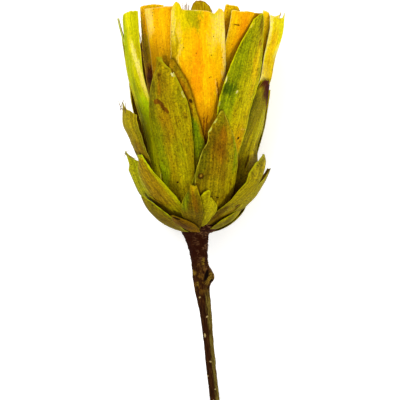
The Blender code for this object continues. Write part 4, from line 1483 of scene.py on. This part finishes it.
class ProteaStageSettings(bpy.types.PropertyGroup):
    distance: size_property(
        "Camera distance",
        "From the camera to the head's axis",
        0.8,
        (0.3, 2.0),
        subtype="DISTANCE",
        unit="LENGTH",
    )
    daylight: size_property("Room light", "Strength of the even white light", 0.95, (0.0, 2.0))
    key: size_property("Key light", "Power of the main light", 8.0, (0.0,), unit="POWER")
    fill: size_property("Fill light", "Power of the second light", 3.0, (0.0,), unit="POWER")
    floor: shade_property("Floor", "Colour of the floor", "F6F6F6")
    glow: size_property("Floor light", "How much the floor itself lights", 0.3, (0.0, 1.0))


class PROTEA_OT_bracts(bpy.types.Operator):
    """Makes the bracts, one sheet for each bract of the CAD frame"""

    bl_idname = "protea.bracts"
    bl_label = "Bracts"

    def execute(self, context):
        sizes = context.scene.protea_bracts
        for index, name in enumerate(BRACT_NODES):
            fineness = sizes.under_fineness if HIDDEN_WORD in name else sizes.fineness
            add_bract(name, OUTLINES, FIRST_SEED + SEED_STEP * index, fineness, sizes)
        return {"FINISHED"}


class PROTEA_OT_stem(bpy.types.Operator):
    """Makes the woody stem with its receptacle"""

    bl_idname = "protea.stem"
    bl_label = "Stem"

    def execute(self, context):
        sizes = context.scene.protea_stem
        rings, grain, marks = stem_surface(sizes.relief)
        stem = add_tube("stem_dried", to_table(rings), {"grain": grain, "marks": marks})
        stem.data.materials.append(bark_finish(tuple(sizes.dark), tuple(sizes.light)))
        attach(stem, ROOT_BODY)
        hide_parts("stem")
        return {"FINISHED"}


class PROTEA_OT_florets(bpy.types.Operator):
    """Makes the florets as one bundle of slender strands, with a few loose hairs"""

    bl_idname = "protea.florets"
    bl_label = "Florets"

    def execute(self, context):
        sizes = context.scene.protea_florets
        bundle, tuft, loose = floret_lines(sizes.count), tuft_lines(), loose_lines()
        share = np.linspace(0.0, 1.0, STRAND_RINGS)[None]
        taper = TIP_SHARE + (1.0 - TIP_SHARE) * np.sin(share * math.pi) ** 0.7
        radii = [
            np.repeat(sizes.radius * taper, len(bundle), axis=0),
            np.repeat(sizes.radius * TUFT_SHARE * taper, len(tuft), axis=0),
            np.repeat(LOOSE_RADIUS * taper, len(loose), axis=0),
        ]
        source = np.random.default_rng(TONE_SEED)
        tones = [
            source.uniform(*BUNDLE_TONES, len(bundle)),
            source.uniform(*TUFT_TONES, len(tuft)),
            np.full(len(loose), LOOSE_TONE),
        ]
        lines = np.concatenate([bundle, tuft, loose])
        florets = add_strands("florets_dried", lines, np.concatenate(radii), np.concatenate(tones))
        florets.data.materials.append(floret_finish(tuple(sizes.low), tuple(sizes.high)))
        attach(florets, ROOT_BODY)
        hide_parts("florets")
        return {"FINISHED"}


WHITE = (1.0, 1.0, 1.0, 1.0)
FLOOR_REACH = 4000.0
VIEW_POINT = np.array([1.245, 0.0, 14.08])  # the place in the head that the camera looks at
VIEW_ROLL = math.radians(1.2)
VIEW_WIDTH = 0.176  # metres across the picture, at the head's axis
SENSOR = 36.0
CLIP = (0.05, 20.0)
LAMP_AIM = np.array([0.0, 0.03, 0.03])
LAMP_PLACES = {"key": (-0.5, 0.55, 1.1), "fill": (0.8, -0.3, 0.9)}
LAMP_WIDTH = 0.9


def point_along(direction, roll):
    """The turn that looks along a direction with the head's rim upwards, rolled anticlockwise."""
    forward = Vector(direction).normalized()
    right = forward.cross(Vector((0.0, 1.0, 0.0))).normalized()
    matrix = Matrix((right, right.cross(forward), -forward)).transposed()
    return (matrix @ Matrix.Rotation(roll, 3, "Z")).to_euler()


class PROTEA_OT_stage(bpy.types.Operator):
    """Sets the floor, the lights and the camera"""

    bl_idname = "protea.stage"
    bl_label = "Stage"

    def execute(self, context):
        scene = context.scene
        sizes = scene.protea_stage
        scene.view_settings.view_transform = "Standard"
        corners = np.array([(-1, -1, 0), (1, -1, 0), (1, 1, 0), (-1, 1, 0)], float) * FLOOR_REACH
        floor = add_mesh("floor", corners, np.array([[0, 1, 2, 3]]))
        graph = Graph("floor")
        grain = graph.noise(graph.spot(), 900.0, 3.0)
        colour = graph.mix(grain * 0.3, tuple(sizes.floor), WHITE)
        graph.shader.inputs["Emission Color"].default_value = WHITE
        graph.shader.inputs["Emission Strength"].default_value = sizes.glow
        floor.data.materials.append(graph.finish(colour, 0.9, graph.bump(grain, 0.1, 0.0001), 0.2))

        world = bpy.data.worlds.new("studio")
        scene.world = world
        world.use_nodes = True
        background = world.node_tree.nodes["Background"]
        background.inputs["Color"].default_value = WHITE
        background.inputs["Strength"].default_value = sizes.daylight

        for title, place in LAMP_PLACES.items():
            light = bpy.data.lights.new(title, "AREA")
            light.shape = "DISK"
            light.size = LAMP_WIDTH
            light.energy = getattr(sizes, title)
            lamp = bpy.data.objects.new(title, light)
            scene.collection.objects.link(lamp)
            lamp.location = place
            lamp.rotation_euler = point_along(LAMP_AIM - place, 0.0)

        camera = bpy.data.cameras.new("camera")
        camera.sensor_width = SENSOR
        camera.lens = SENSOR * sizes.distance / VIEW_WIDTH
        camera.clip_start, camera.clip_end = CLIP
        eye = bpy.data.objects.new("camera", camera)
        scene.collection.objects.link(eye)
        back = -HEAD_AXES[1]
        eye.location = (HEAD_BASE + VIEW_POINT @ HEAD_AXES) * MM + back * sizes.distance
        eye.rotation_euler = point_along(-back, VIEW_ROLL)
        scene.camera = eye
        return {"FINISHED"}


class PROTEA_PT_panel(bpy.types.Panel):
    """Lists the pieces and their settings"""

    bl_label = "Protea"
    bl_space_type = "VIEW_3D"
    bl_region_type = "UI"
    bl_category = "Protea"

    def draw(self, context):
        for title in SETTINGS:
            settings = getattr(context.scene, title)
            box = self.layout.box()
            for field in settings.__annotations__:
                box.prop(settings, field)
            box.operator(title.replace("_", "."))


SETTINGS = {
    "protea_bracts": ProteaBractSettings,
    "protea_stem": ProteaStemSettings,
    "protea_florets": ProteaFloretSettings,
    "protea_stage": ProteaStageSettings,
}
CLASSES = (
    *SETTINGS.values(),
    PROTEA_OT_bracts,
    PROTEA_OT_stem,
    PROTEA_OT_florets,
    PROTEA_OT_stage,
    PROTEA_PT_panel,
)


def register():
    for one in CLASSES:
        bpy.utils.register_class(one)
    for title, group in SETTINGS.items():
        setattr(bpy.types.Scene, title, bpy.props.PointerProperty(type=group))


def unregister():
    for title in SETTINGS:
        delattr(bpy.types.Scene, title)
    for one in reversed(CLASSES):
        bpy.utils.unregister_class(one)


def main():
    register()
    bpy.ops.protea.bracts()
    bpy.ops.protea.stem()
    bpy.ops.protea.florets()
    bpy.ops.protea.stage()


if __name__ == "__main__":
    main()
